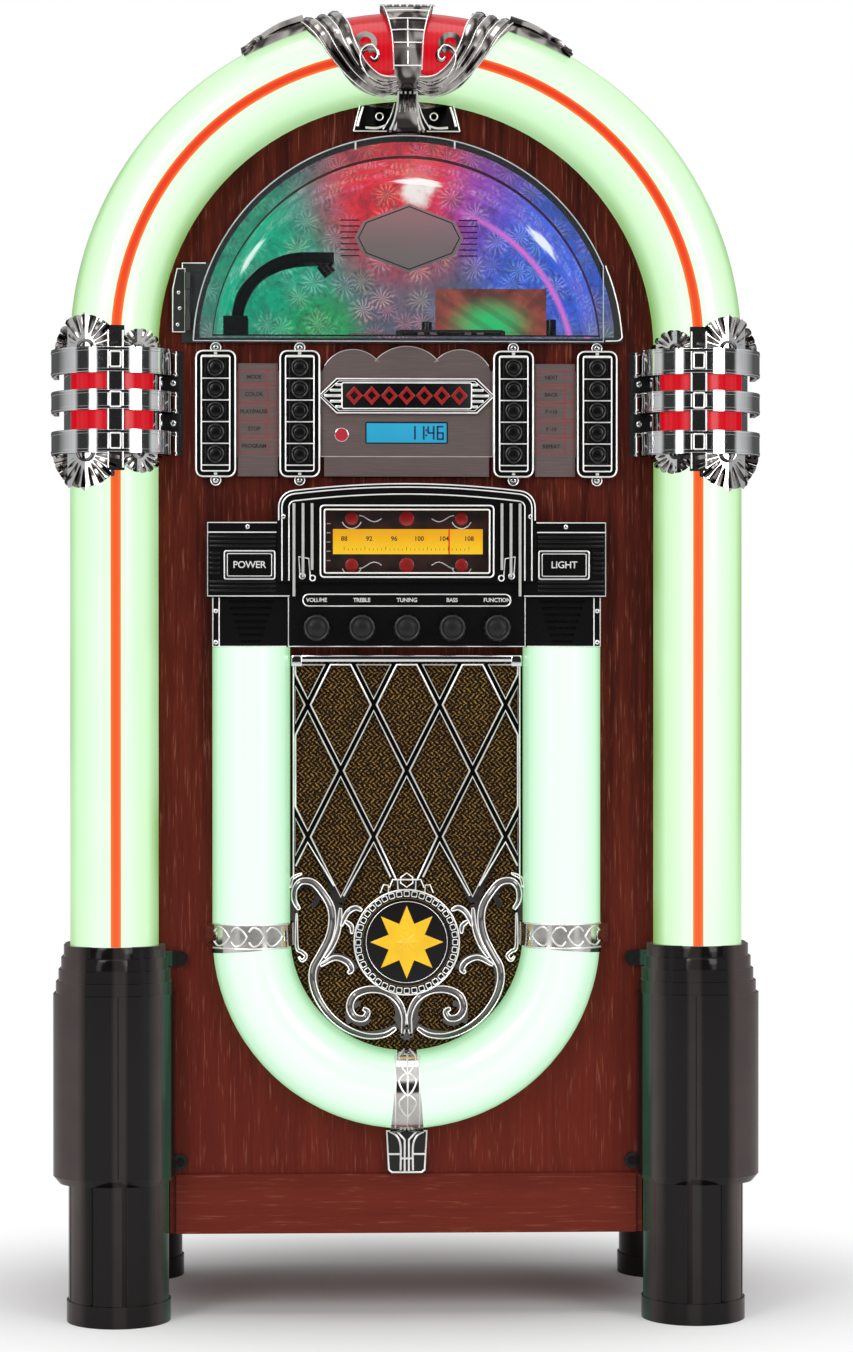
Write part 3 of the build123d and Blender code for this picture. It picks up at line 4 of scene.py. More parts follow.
import bpy
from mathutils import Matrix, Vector


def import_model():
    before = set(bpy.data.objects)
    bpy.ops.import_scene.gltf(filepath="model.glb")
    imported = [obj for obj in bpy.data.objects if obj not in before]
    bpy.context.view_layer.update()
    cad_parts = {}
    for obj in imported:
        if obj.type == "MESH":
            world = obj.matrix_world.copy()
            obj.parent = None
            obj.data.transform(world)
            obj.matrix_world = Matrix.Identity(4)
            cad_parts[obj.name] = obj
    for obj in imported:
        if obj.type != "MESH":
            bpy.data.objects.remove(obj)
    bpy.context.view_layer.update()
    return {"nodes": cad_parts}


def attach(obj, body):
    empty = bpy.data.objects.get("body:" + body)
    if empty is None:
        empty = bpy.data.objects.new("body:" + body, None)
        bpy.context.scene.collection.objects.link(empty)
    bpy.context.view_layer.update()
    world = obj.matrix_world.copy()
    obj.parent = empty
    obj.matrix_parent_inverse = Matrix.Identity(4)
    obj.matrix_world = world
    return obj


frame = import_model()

# One millimetre in Blender's metres, and the places that several pieces share, in millimetres
MM = 0.001
ARCH_Z = 775.0
TUBE_X = 233.5
TUBE_Y = -103.0
TUBE_RADIUS = 35.0
U_X = 124.3
U_Y = -101.0
U_Z = 307.0
U_GLOW = 31.0
STRIP_RADIUS = 230.0


# Node wiring

class Value:
    """One socket of a finish. Sums on it add Math nodes."""

    def __init__(self, finish, socket):
        self.finish = finish
        self.socket = socket

    def math(self, operation, *others):
        return self.finish.node("ShaderNodeMath", {"operation": operation}, dict(enumerate((self, *others))))

    __add__ = __radd__ = partialmethod(math, "ADD")
    __sub__ = partialmethod(math, "SUBTRACT")
    __mul__ = partialmethod(math, "MULTIPLY")
    __truediv__ = partialmethod(math, "DIVIDE")
    __pow__ = partialmethod(math, "POWER")
    __neg__ = partialmethod(math, "MULTIPLY", -1.0)
    __gt__ = partialmethod(math, "GREATER_THAN")
    __lt__ = partialmethod(math, "LESS_THAN")
    size = partialmethod(math, "ABSOLUTE")
    root = partialmethod(math, "SQRT")
    floor = partialmethod(math, "FLOOR")
    at_least = partialmethod(math, "MAXIMUM")
    at_most = partialmethod(math, "MINIMUM")
    wrap = partialmethod(math, "FLOORED_MODULO")

    def __rsub__(self, other):
        return -self + other

    def wave(self):
        """A sine between 0 and 1."""
        return self.math("SINE") * 0.5 + 0.5

    def rise(self, low, high):
        """0 below low, 1 above high, and smooth between them."""
        return self.finish.node("ShaderNodeMapRange", {"interpolation_type": "SMOOTHSTEP"},
                                {"Value": self, "From Min": low, "From Max": high})


class Finish:
    """A material, or the world's background, built from nodes."""

    def __init__(self, name, tree=None):
        self.material = None if tree else bpy.data.materials.new(name)
        if self.material:
            self.material.use_nodes = True
        self.tree = tree or self.material.node_tree
        self.end = "ShaderNodeOutputWorld" if tree else "ShaderNodeOutputMaterial"
        self.tree.nodes.clear()
        self.point = self.node("ShaderNodeTexCoord", output="Object")

    def node(self, kind, settings=None, inputs=None, output=0):
        """A new node: its settings first, then the values or links of its sockets."""
        made = self.tree.nodes.new(kind)
        for name, setting in (settings or {}).items():
            if name == "stops":
                ramp = made.color_ramp
                while len(ramp.elements) < len(setting):
                    ramp.elements.new(0.5)
                for element, (place, colour) in zip(ramp.elements, setting):
                    element.position = place
                    element.color = (*colour, 1.0)
            else:
                setattr(made, name, setting)
        for key, value in (inputs or {}).items():
            socket = made.inputs[key]
            if isinstance(value, Value):
                self.tree.links.new(value.socket, socket)
            elif isinstance(value, tuple) and socket.type == "RGBA":
                socket.default_value = (*value, 1.0)
            else:
                socket.default_value = value
        return None if output is None else Value(self, made.outputs[output])

    def output(self, value, name):
        """Another output of the node that gives a value."""
        return Value(self, value.socket.node.outputs[name])

    def axes(self, vector):
        split = self.node("ShaderNodeSeparateXYZ", inputs={0: vector})
        return [self.output(split, axis) for axis in range(3)]

    def place(self):
        """X, Y and Z of the surface point."""
        return self.axes(self.point)

    def spot(self, x, y, z):
        return self.node("ShaderNodeCombineXYZ", inputs={0: x, 1: y, 2: z})

    def noise(self, scale, detail=3.0, roughness=0.55, distortion=0.0, where=None):
        return self.node("ShaderNodeTexNoise", inputs={
            "Vector": where or self.point, "Scale": scale, "Detail": detail, "Roughness": roughness,
            "Distortion": distortion})

    def ramp(self, factor, *stops):
        return self.node("ShaderNodeValToRGB", {"stops": stops}, {0: factor})

    def mix(self, factor, first, second, blend="MIX"):
        return self.node("ShaderNodeMix", {"data_type": "RGBA", "blend_type": blend},
                         {0: factor, 6: first, 7: second}, 2)

    def bump(self, height, distance, strength=1.0):
        return self.node("ShaderNodeBump",
                         inputs={"Height": height, "Distance": distance, "Strength": strength})

    def shader(self, **sockets):
        return self.node("ShaderNodeBsdfPrincipled",
                         inputs={key.replace("_", " "): value for key, value in sockets.items()})

    def show(self, shader):
        self.node(self.end, inputs={0: shader}, output=None)
        return self.material

    def surface(self, **sockets):
        return self.show(self.shader(**sockets))

    def lit(self, base, roughness, glow, strength=0.9, **more):
        """Plastic with light from inside."""
        return self.surface(Base_Color=base, Roughness=roughness, Emission_Color=glow,
                            Emission_Strength=strength, **more)


def away(*sides):
    """Straight distance from its parts along the axes."""
    return sum(side * side for side in sides).root()


def scaled(colour, share):
    return tuple(part * share for part in colour)


# Finishes

NO_LIGHT = (0.0, 0.0, 0.0)
LIT_BASE = (0.06, 0.08, 0.05)
SPOTS = 46.0


def mahogany(name, along, dark, light):
    """Stained wood with its grain along X or Z, redder near the floor."""
    f = Finish(name)
    x, y, z = f.place()
    where = f.spot(x, y, z * 0.055) if along == "Z" else f.spot(x * 0.055, y, z)
    broad = f.noise(38.0, 4.0, 0.6, 0.6, where)
    fine = f.noise(300.0, 3.0, 0.7, where=where)
    pores = f.noise(620.0, 2.0, 0.6, where=where)
    tone = broad.rise(0.34, 0.68) * 0.55 + fine.rise(0.35, 0.75) * 0.45
    low = 1 - z.rise(0.10, 0.62)
    warm = f.mix(low * 0.55, f.mix(tone, dark, light), (0.20, 0.024, 0.013))
    streak = pores.rise(0.55, 0.68) * fine.rise(0.42, 0.60)
    return f.surface(Base_Color=f.mix(streak * 0.62, warm, (0.30, 0.090, 0.055)),
                     Roughness=fine * 0.18 + 0.34, Specular_IOR_Level=0.12,
                     Normal=f.bump(fine - pores * 0.5, 0.00025, 0.5))


def tube_light(f, x, z):
    """Colour of the lit tubes: white-green along the middle and greener at the edges."""
    up = (z - ARCH_Z * MM).at_least(0.0)
    down = (z - U_Z * MM).at_most(0.0)
    large = (away(x, up) - TUBE_X * MM).size() / (TUBE_RADIUS * MM)
    small = (away(x, down) - U_X * MM).size() / (U_GLOW * MM)
    is_small = (x.size() < 0.18) * (z < 0.60)
    rim = (small * is_small + large * (1 - is_small)).at_most(1.0)
    glow = f.ramp(rim, (0.0, (0.88, 1.0, 0.87)), (0.42, (0.80, 0.97, 0.78)), (0.80, (0.58, 0.86, 0.50)),
                  (1.0, (0.20, 0.42, 0.11)))
    cool = f.ramp(rim, (0.0, (0.88, 0.99, 0.92)), (0.5, (0.80, 0.98, 0.86)), (0.85, (0.56, 0.88, 0.62)),
                  (1.0, (0.26, 0.54, 0.28)))
    cloudy = f.mix(f.noise(6.0, 2.0).rise(0.35, 0.7) * 0.4, glow, (0.62, 0.93, 0.62))
    return f.mix(is_small, cloudy, cool)


def lit_tubes():
    """Translucent plastic, lit from inside."""
    f = Finish("lit_tube_plastic")
    x, _, z = f.place()
    return f.lit(LIT_BASE, 0.22, tube_light(f, x, z), 1.0)


def plain(name, colour, roughness, metallic=0.0, grain=0.0, coat=0.0, glow=None, shine=0.0, gloss=0.5):
    """A one-colour finish with slight clouding, and with a fine texture where grain is given."""
    f = Finish(name)
    cloud = f.noise(60.0)
    sockets = {"Base_Color": f.mix(cloud.rise(0.3, 0.7), colour, scaled(colour, 0.82)),
               "Roughness": cloud * 0.08 + roughness, "Metallic": metallic, "Coat_Weight": coat,
               "Specular_IOR_Level": gloss}
    if grain:
        sockets["Normal"] = f.bump(f.noise(900.0, 2.0), grain, 0.6)
    if glow:
        sockets.update(Emission_Color=glow, Emission_Strength=shine)
    return f.surface(**sockets)


def brushed(name, colour, roughness):
    """Metal-painted plate with fine lines across."""
    f = Finish(name)
    x, y, z = f.place()
    line = f.noise(2600.0, 2.0, where=f.spot(x * 0.02, y, z))
    base = f.mix(line.rise(0.3, 0.7) * 0.6 + f.noise(18.0) * 0.4, scaled(colour, 0.72), colour)
    return f.surface(Base_Color=base, Roughness=line * 0.15 + roughness, Metallic=0.75,
                     Normal=f.bump(line, 0.00003, 0.5))


def chrome(name, tint=(0.84, 0.85, 0.86), dark=None):
    """Plated metal. A dark tone stands for what the plating reflects in smoked chrome."""
    f = Finish(name)
    smear = f.noise(22.0)
    base = f.mix(smear.rise(0.35, 0.7) * 0.5, tint, scaled(tint, 0.86))
    if dark:
        x, y, z = f.place()
        patch = f.noise(62.0, 1.0, 0.5, 0.8, f.spot(x, y, z * 0.45))
        base = f.mix(patch.rise(0.40, 0.60), base, dark)
    return f.surface(Base_Color=base, Metallic=1.0, Roughness=f.noise(90.0, 2.0) * 0.05 + 0.05,
                     Normal=f.bump(smear, 0.0004, 0.35))


def red_lens():
    """Red plastic, lit from inside, with ribs across. Below the crown's wings the tube's light shows."""
    f = Finish("red_lens")
    x, _, z = f.place()
    rib_pitch = 0.004
    rib = (x.size() * (2 * pi / rib_pitch)).wave()
    bright = f.mix(rib * 0.35, (0.55, 0.004, 0.012), (0.84, 0.014, 0.034))
    red = f.mix(z.rise(1.020, 1.046), bright, (0.34, 0.002, 0.008))
    wing_foot = (x.size() - 0.030).at_least(0.0) * 1.03 + 0.977
    outside = (z > 0.90) * (z < wing_foot)
    colour = f.mix(outside, f.mix(0.15, red, NO_LIGHT), tube_light(f, x, z))
    base = f.mix(outside, (0.20, 0.002, 0.004), LIT_BASE)
    return f.lit(base, 0.20, colour, 1.0, Specular_IOR_Level=0.3)


def sleeve_black_painted_highlights():
    """Glossy black with painted highlights: soft upright bands of reflected light on the round fronts of the
    sleeves and feet, and a painted green tint of the tubes' light at their inner edges.
    """
    f = Finish("sleeve_black_painted_highlights")
    x, y, z = f.place()
    cloud = f.noise(30.0, 2.0)
    sleeve_left, sleeve_width, front = 0.187, 0.095, -0.06
    dark, soft, lit = (0.003, 0.0025, 0.0025), (0.034, 0.028, 0.027), (0.080, 0.062, 0.060)
    green = (0.020, 0.065, 0.040)
    across = (x.size() - sleeve_left) / sleeve_width
    # Painted highlights across each sleeve: green tube light at the inner edge, then lit and soft bands of
    # reflected light
    bands = f.ramp(across, (0.0, dark), (0.01, green), (0.05, green), (0.09, lit), (0.15, soft), (0.19, dark),
                   (0.35, dark), (0.38, soft), (0.46, soft), (0.49, dark), (0.70, dark), (0.77, lit),
                   (0.95, lit), (1.0, soft))
    # The painted highlights show only on the fronts, and are half as strong near the floor
    share = (y < front) * (z.rise(0.0, 0.11) * 0.5 + 0.5)
    glow = f.mix(share, dark, f.mix(cloud * 0.4, bands, dark))
    return f.lit((0.0045, 0.0035, 0.0035), cloud * 0.05 + 0.10, glow, Specular_IOR_Level=0.22)


def red_strip():
    """Red-orange strip along the large tube, brighter at its edges."""
    f = Finish("red_strip_plastic")
    x, _, z = f.place()
    off = (away(x, (z - ARCH_Z * MM).at_least(0.0)) - STRIP_RADIUS * MM).size() / 0.004
    warm = f.mix(z.rise(0.70, 0.90), (0.95, 0.125, 0.018), (0.86, 0.045, 0.008))
    return f.lit((0.10, 0.008, 0.003), 0.3, f.mix(off.rise(0.3, 1.0), warm, (0.98, 0.22, 0.04)))


def clear_plastic(name, tint, haze):
    """Clear moulded plastic: thin, with a fresnel gloss."""
    f = Finish(name)
    see = f.node("ShaderNodeBsdfTransparent", inputs={0: tint})
    gloss = f.shader(Base_Color=f.mix(f.noise(45.0, 2.0), (0.30, 0.32, 0.34), (0.22, 0.24, 0.26)),
                     Roughness=0.05, Specular_IOR_Level=0.6)
    edge = f.node("ShaderNodeLayerWeight", inputs={"Blend": 0.18})
    return f.show(f.node("ShaderNodeMixShader", inputs={0: edge * 0.5 + haze, 1: see, 2: gloss}))


# Painted pools of the bay lamps' light on the foil: place in X and Z, reach, where the tint starts and is
# full, and the tint
FOIL_PAINTED_LAMP_POOLS = (
    ((-0.122, 0.850), 0.120, (0.0, 0.85), (0.0, 0.46, 0.24)),
    ((0.000, 0.918), 0.105, (0.0, 0.8), (0.90, 0.030, 0.045)),
    ((0.088, 0.905), 0.090, (0.1, 0.9), (0.30, 0.05, 0.62)),
    ((0.128, 0.860), 0.110, (0.05, 0.8), (0.045, 0.14, 0.85)),
    ((-0.066, 0.806), 0.062, (0.1, 0.9), (0.005, 0.46, 0.10)),
    ((-0.010, 0.806), 0.060, (0.1, 0.9), (1.0, 0.20, 0.18)),
)
# Painted highlights of the lamps on it: place in X, Z and Y, half sizes in Y, X and Z, tilt, shift of the
# noise, and the tint
FOIL_PAINTED_HIGHLIGHTS = (
    ((-0.134, 0.868, 0.025), (0.040, 0.017, 0.028), -0.7, 0.3, (0.82, 1.0, 0.93)),
    ((0.014, 0.928, 0.045), (0.030, 0.030, 0.026), 0.5, 1.7, (1.0, 0.92, 0.88)),
    ((0.126, 0.882, 0.025), (0.042, 0.030, 0.024), -0.6, 2.9, (0.92, 0.97, 1.0)),
)


def foil_with_painted_lamplight(name, rim):
    """Patterned foil behind the disc player. It glows with the painted light of the bay's lamps: pools of
    colour and highlights. A rim is black outside it.
    """
    f = Finish(name)
    x, y, z = f.place()
    spot = f.spot(x, y * 0.6, z)
    near = f.node("ShaderNodeTexVoronoi", inputs={"Vector": spot, "Scale": SPOTS})
    centre = f.output(near, "Position")
    apart = f.node("ShaderNodeVectorMath", {"operation": "SUBTRACT"}, {0: spot, 1: centre})
    dx, _, dz = f.axes(apart)
    wobble = f.noise(160.0, 2.0, where=spot)
    rays = (dz.math("ARCTAN2", dx) * 13.0 + wobble * 12.0).wave() ** 2.6
    burst = rays * (1 - near.rise(0.25, 0.75))
    ripple = f.noise(75.0, 4.0, 0.65, 1.2, spot)
    colour = f.mix(ripple, (0.060, 0.075, 0.11), (0.20, 0.23, 0.32))
    shares = (1.0, 1.0, 0.8, 1.0, 0.8, burst)
    # Painted pools of coloured lamp light on the foil
    for ((lx, lz), reach, (start, full), tint), share in zip(FOIL_PAINTED_LAMP_POOLS, shares):
        light = 1 - away(x - lx, z - lz).rise(0.0, reach)
        colour = f.mix(light.rise(start, full) * share, colour, tint)
    sparkle = f.mix(0.35, f.output(near, "Color"), (0.9, 0.95, 1.0))
    colour = f.mix(burst * 0.75, colour, f.mix(0.45, sparkle, colour), "SCREEN")
    glitter = f.noise(260.0, 2.0, 0.6, where=spot)
    dull = ripple.rise(0.30, 0.75) * 0.55 + glitter.rise(0.5, 0.75) * 0.3
    colour = f.mix(dull, colour, (0.02, 0.025, 0.05))
    arc_line = 1 - (away(x, z - 0.770) - 0.146).size().rise(0.0, 0.004)
    colour = f.mix(arc_line * x.rise(0.02, 0.09), colour, (0.75, 0.18, 0.72))
    # Painted highlights: white blobs where the lamps shine
    for (lx, lz, ly), (deep, wide, tall), tilt, shift, tint in FOIL_PAINTED_HIGHLIGHTS:
        c, s = cos(tilt), sin(tilt)
        across = ((x - lx) * c + (z - lz) * s) / wide
        up = ((z - lz) * c - (x - lx) * s) / tall
        rough = f.noise(55.0, where=f.spot(x + shift, y, z))
        painted_highlight = 1 - (away(across, (y - ly) / deep, up) + rough * 0.8).rise(0.95, 1.25)
        colour = f.mix(painted_highlight, colour, tint)
    if rim:
        window = (away(x, z - ARCH_Z * MM) < 0.1665) * (z > 0.7845) * (x.size() < 0.1655)
        colour = f.mix(window, (0.004, 0.004, 0.004), f.mix(0.25, colour, NO_LIGHT))
    # All of the foil's colour is given as glow: painted light of the bay's lamps
    return f.lit((0.02, 0.02, 0.022), 0.35, colour)


def cloth():
    """Woven grille cloth, dark with bronze and gold threads on the slant."""
    f = Finish("woven_cloth")
    x, _, z = f.place()
    step = 0.0042
    row = (z / step).floor()
    odd = row.wrap(2.0)
    along = (x / step + odd * 0.5).wrap(1.0)
    up = (z / step).wrap(1.0)
    slant = (along + (odd * 2.0 - 1.0) * (up - 0.5) * 0.9).wrap(1.0)
    thread = 1 - (slant - 0.5).size().rise(0.08, 0.30)
    level = f.spot(x, 0.0, z)
    broken = f.noise(700.0, 2.0, where=level).rise(0.42, 0.60)
    gold = f.mix(f.noise(25.0, 2.0, where=level), (0.30, 0.135, 0.022), (0.50, 0.28, 0.055))
    return f.surface(Base_Color=f.mix(thread * broken, (0.004, 0.003, 0.002), gold), Roughness=0.6,
                     Specular_IOR_Level=0.1, Normal=f.bump(thread, 0.0004, 0.6))


def plaque():
    """Bare cream sign plate that glows with the painted light of the bay's lamps: greenish at its foot and
    pinker at its top.
    """
    f = Finish("sign_plaque_painted_lamplight")
    z = f.place()[2]
    up = ((z - 0.855) / 0.058).rise(0.0, 1.0)
    # Painted lamp light: green towards the foot, pink towards the top
    glow = f.mix(up * 0.7 + f.noise(22.0) * 0.3, (0.10, 0.115, 0.10), (0.30, 0.17, 0.18))
    return f.lit((0.08, 0.07, 0.07), 0.35, glow)


def card_print():
    """A plain printed card: warm red with slanting bars and a green glow in its print. The print glows:
    painted light of the bay's lamps.
    """
    f = Finish("title_card_print_painted_lamplight")
    x, _, z = f.place()
    cloud = f.noise(34.0, 4.0, 0.6, 1.0)
    across = (x - 0.070) / 0.044
    up = (z - 0.809) / 0.023
    low = up + 0.3
    glow = 1 - (across * across + low * low * 0.7).root().rise(0.12, 0.95)
    bars = (across * 11.0 + up * 9.0).wave().rise(0.5, 0.9)
    red = f.mix(cloud.rise(0.3, 0.62), (0.10, 0.014, 0.010), (0.36, 0.070, 0.045))
    green = f.mix(glow, red, (0.015, 0.62, 0.18))
    # The print is given as glow: painted light of the bay's lamps
    return f.lit((0.03, 0.03, 0.03), 0.3, f.mix(bars * 0.35, green, (0.05, 0.04, 0.02)), 0.8)


def dial_glow():
    """Amber dial strip, brightest along its foot, in a dark printed face."""
    f = Finish("dial_amber")
    x, _, z = f.place()
    low, high, left, right = 0.6115, 0.6316, -0.0590, 0.0610
    strip = (z > low) * (z < high) * (x > left) * (x < right)
    bright = 1 - ((z - low) / (high - low)).rise(0.0, 1.0)
    cloud = f.noise(50.0)
    amber = f.mix(bright * 0.7 + cloud * 0.3, (0.85, 0.36, 0.003), (1.0, 0.64, 0.02))
    face = f.mix(cloud.rise(0.35, 0.7), (0.004, 0.003, 0.003), (0.020, 0.007, 0.006))
    return f.lit(face, 0.3, f.mix(strip, face, amber), 0.95)


def clip_chrome():
    """Chrome of the tube clips: the plate at the foot is dark between its ribs."""
    f = Finish("clip_chrome")
    x, _, z = f.place()
    smear = f.noise(40.0)
    foot = (z < 0.1525) * (x.size() < 0.017)
    tone = f.mix(smear.rise(0.3, 0.7), (0.82, 0.81, 0.78), (0.55, 0.54, 0.51))
    return f.surface(Base_Color=f.mix(foot, tone, (0.010, 0.010, 0.010)), Metallic=1 - foot,
                     Roughness=smear * 0.06 + 0.10, Specular_IOR_Level=0.3)


def display_glow():
    """Cyan display, with the sensor window beside it red."""
    f = Finish("display_blue")
    x, _, z = f.place()
    up = (z - 0.700) / 0.017
    blue = f.mix(f.noise(40.0, 2.0) * 0.5 + up * 0.4, (0.012, 0.34, 0.58), (0.03, 0.47, 0.74))
    return f.lit((0.02, 0.03, 0.04), 0.15, f.mix(x < -0.045, blue, (0.50, 0.008, 0.012)))


GRAIN_DARK, GRAIN_LIGHT = (0.030, 0.0035, 0.0018), (0.150, 0.018, 0.0075)
WOOD = mahogany("mahogany", "Z", GRAIN_DARK, GRAIN_LIGHT)
SIDE_WOOD = mahogany("side_mahogany", "Z", GRAIN_DARK, GRAIN_LIGHT)
PLINTH_WOOD = mahogany("plinth_mahogany", "X", (0.070, 0.011, 0.006), (0.190, 0.032, 0.018))
TUBE = lit_tubes()
CHROME = chrome("chrome")
DARK_CHROME = chrome("dark_chrome", (0.46, 0.43, 0.41), (0.045, 0.038, 0.036))
SHADOW_CHROME = chrome("shadow_chrome", (0.13, 0.125, 0.12))
# Thin chrome edges with a slight glow: a painted highlight
EDGE_PAINTED_HIGHLIGHT = plain("chrome_edge_painted_highlight", (0.93, 0.92, 0.90), 0.30, 0.85, glow=(0.9, 0.88, 0.86), shine=0.10)
CLIP_CHROME = clip_chrome()
STRIP = red_strip()
LENS = red_lens()
BLACK = plain("black_gloss", (0.0045, 0.0035, 0.0035), 0.08, gloss=0.36)
SLEEVE_PAINTED_HIGHLIGHTS = sleeve_black_painted_highlights()
TRIM_BLACK = plain("panel_black", (0.004, 0.004, 0.004), 0.22, gloss=0.25)
MATTE_BLACK = plain("matte_black", (0.005, 0.005, 0.005), 0.5, grain=0.0001, gloss=0.2)
KEY = plain("key_black", (0.004, 0.0035, 0.0035), 0.18, gloss=0.4)
KNOB = plain("knob_black", (0.010, 0.010, 0.011), 0.30, gloss=0.4)
PLATE = brushed("brushed_plate", (0.185, 0.140, 0.135), 0.42)
PLATE_EDGE = plain("plate_edge", (0.62, 0.58, 0.56), 0.25, metallic=0.8)
BADGE_RED = plain("badge_red", (0.42, 0.006, 0.006), 0.25, coat=0.3)
WHITE = plain("print_white", (0.80, 0.80, 0.78), 0.4)
PRINT_RED = plain("print_red", (0.50, 0.018, 0.014), 0.4)
PRINT_DARK = plain("print_dark", (0.020, 0.016, 0.016), 0.5)
DIGIT = plain("display_ink", (0.008, 0.035, 0.12), 0.4)
DIAL_PRINT = plain("dial_ink", (0.05, 0.022, 0.004), 0.5)
CLEAR_EDGE = plain("clear_edge", (0.72, 0.76, 0.78), 0.12)
DOME = clear_plastic("clear_dome", (0.97, 0.975, 0.98), 0.012)
PLAQUE_PAINTED_LAMPLIGHT = plaque()
CARD_PAINTED_LAMPLIGHT = card_print()
FOIL_PAINTED_LAMPLIGHT = foil_with_painted_lamplight("bay_foil_painted_lamplight", False)
FRAME_RIM_PAINTED_LAMPLIGHT = foil_with_painted_lamplight("door_frame_rim_painted_lamplight", True)
CLOTH = cloth()
BOARD = plain("back_board", (0.17, 0.11, 0.07), 0.6, grain=0.0003)
GREEN_BOARD = plain("circuit_green", (0.03, 0.16, 0.07), 0.4)
AMBER = dial_glow()
DISPLAY = display_glow()
# Gold with a glow of its own colour: a painted shine
GOLD_PAINTED_SHINE = plain("star_gold_painted_shine", (0.80, 0.46, 0.012), 0.25, glow=(0.85, 0.52, 0.015), shine=0.38)
NEEDLE = plain("pointer_red", (0.6, 0.03, 0.01), 0.3, glow=(0.7, 0.05, 0.01), shine=0.4)

NODE_FINISH = {
    "front_panel": WOOD, "cabinet_shell": SIDE_WOOD, "back_panel": BOARD, "plinth": PLINTH_WOOD,
    "light_tubes": TUBE, "red_strips": STRIP, "column_sleeves": SLEEVE_PAINTED_HIGHLIGHTS, "legs": SLEEVE_PAINTED_HIGHLIGHTS, "side_clamps": CHROME,
    "red_lenses": LENS, "crown": DARK_CHROME, "door_frame": FRAME_RIM_PAINTED_LAMPLIGHT, "disc_bay": FOIL_PAINTED_LAMPLIGHT,
    "disc_deck": MATTE_BLACK, "control_plate": PLATE, "key_bezels": TRIM_BLACK, "display_windows": DISPLAY,
    "radio_bezel": TRIM_BLACK, "dial_scale": AMBER, "grille_frame": SHADOW_CHROME, "grille_cloth": CLOTH,
    "medallion": GOLD_PAINTED_SHINE, "tube_clips": CLIP_CHROME, "speakers": MATTE_BLACK, "amplifier_board": GREEN_BOARD,
    "rear_terminals": MATTE_BLACK, "sleeve_screws": MATTE_BLACK, "dome_door": DOME, "disc_arm": TRIM_BLACK,
    "disc_hub": MATTE_BLACK, "dial_pointer": NEEDLE, "power_button": KEY, "light_button": KEY,
}
for name, node in frame["nodes"].items():
    if name.startswith("key_") and name != "key_bezels":
        finish = KEY
    elif name.endswith("_knob"):
        finish = KNOB
    else:
        finish = NODE_FINISH[name]
    node.data.materials.clear()
    node.data.materials.append(finish)


# Modelling steps

def select(*objects):
    bpy.ops.object.select_all(action="DESELECT")
    for one in objects:
        one.select_set(True)
    bpy.context.view_layer.objects.active = objects[0]


def settle(piece):
    """Put the piece's place, turn and scale into its mesh."""
    select(piece)
    bpy.ops.object.transform_apply(location=True, rotation=True, scale=True)
    return piece


def add(primitive, **settings):
    """A new object, with nothing else selected."""
    bpy.ops.object.select_all(action="DESELECT")
    primitive(**settings)
    return bpy.context.active_object


def dress(piece, name, finish, body="root", smooth=32):
    """Name a finished piece, give it its finish and let it ride on a body."""
    select(piece)
    piece.name = name
    piece.data.name = name
    piece.data.materials.clear()
    piece.data.materials.append(finish)
    bpy.ops.object.shade_smooth_by_angle(angle=radians(smooth))
    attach(piece, body)


def join(pieces):
    select(*pieces)
    if len(pieces) > 1:
        bpy.ops.object.join()
    return bpy.context.view_layer.objects.active


def delete(*pieces):
    select(*pieces)
    bpy.ops.object.delete()


def edit(piece, *steps):
    """Take mesh steps on all of a piece."""
    select(piece)
    bpy.ops.object.mode_set(mode="EDIT")
    bpy.ops.mesh.select_all(action="SELECT")
    for step, settings in steps:
        step(**settings)
    bpy.ops.object.mode_set(mode="OBJECT")
    return piece


OUTWARDS = (bpy.ops.mesh.normals_make_consistent, {"inside": False})


def tidy(piece):
    """Merge doubles and turn the faces outwards."""
    return edit(piece, (bpy.ops.mesh.remove_doubles, {"threshold": 0.00001}), OUTWARDS)


def finish_with(piece, kind, **settings):
    select(piece)
    bpy.ops.object.modifier_add(type=kind)
    modifier = piece.modifiers[-1]
    for key, value in settings.items():
        setattr(modifier, key, value)
    bpy.ops.object.modifier_apply(modifier=modifier.name)
    return piece


def slab(x_ends, z_ends, front, back, bevel=0.0, segments=2):
    """A block with rounded edges."""
    sides = (x_ends, (front, back), z_ends)
    made = settle(add(bpy.ops.mesh.primitive_cube_add, size=1,
                      location=[sum(ends) / 2 * MM for ends in sides],
                      scale=[abs(ends[1] - ends[0]) * MM for ends in sides]))
    if bevel:
        finish_with(made, "BEVEL", width=bevel * MM, segments=segments, limit_method="NONE")
    return made


def rod(place, radius, length, bevel, sides, turn):
    made = settle(add(bpy.ops.mesh.primitive_cylinder_add, vertices=sides, radius=radius * MM,
                      depth=length * MM, location=[part * MM for part in place], rotation=(turn, 0, 0)))
    return finish_with(made, "BEVEL", width=bevel * MM, segments=2, limit_method="ANGLE",
                       angle_limit=radians(50))


def button(x, z, radius, front, back, bevel=0.4, sides=24):
    """A short round piece whose axis runs front to back."""
    return rod((x, (front + back) / 2, z), radius, abs(back - front), bevel, sides, pi / 2)


def post(x, y, radius, low, high):
    return rod((x, y, (low + high) / 2), radius, high - low, 0.6, 20, 0)


def ring(x, z, radius, bead, y, sides=28):
    """A round bead lying on a front face."""
    return settle(add(bpy.ops.mesh.primitive_torus_add, major_segments=sides, minor_segments=8,
                      major_radius=radius * MM, minor_radius=bead * MM, location=(x * MM, y * MM, z * MM),
                      rotation=(pi / 2, 0, 0)))


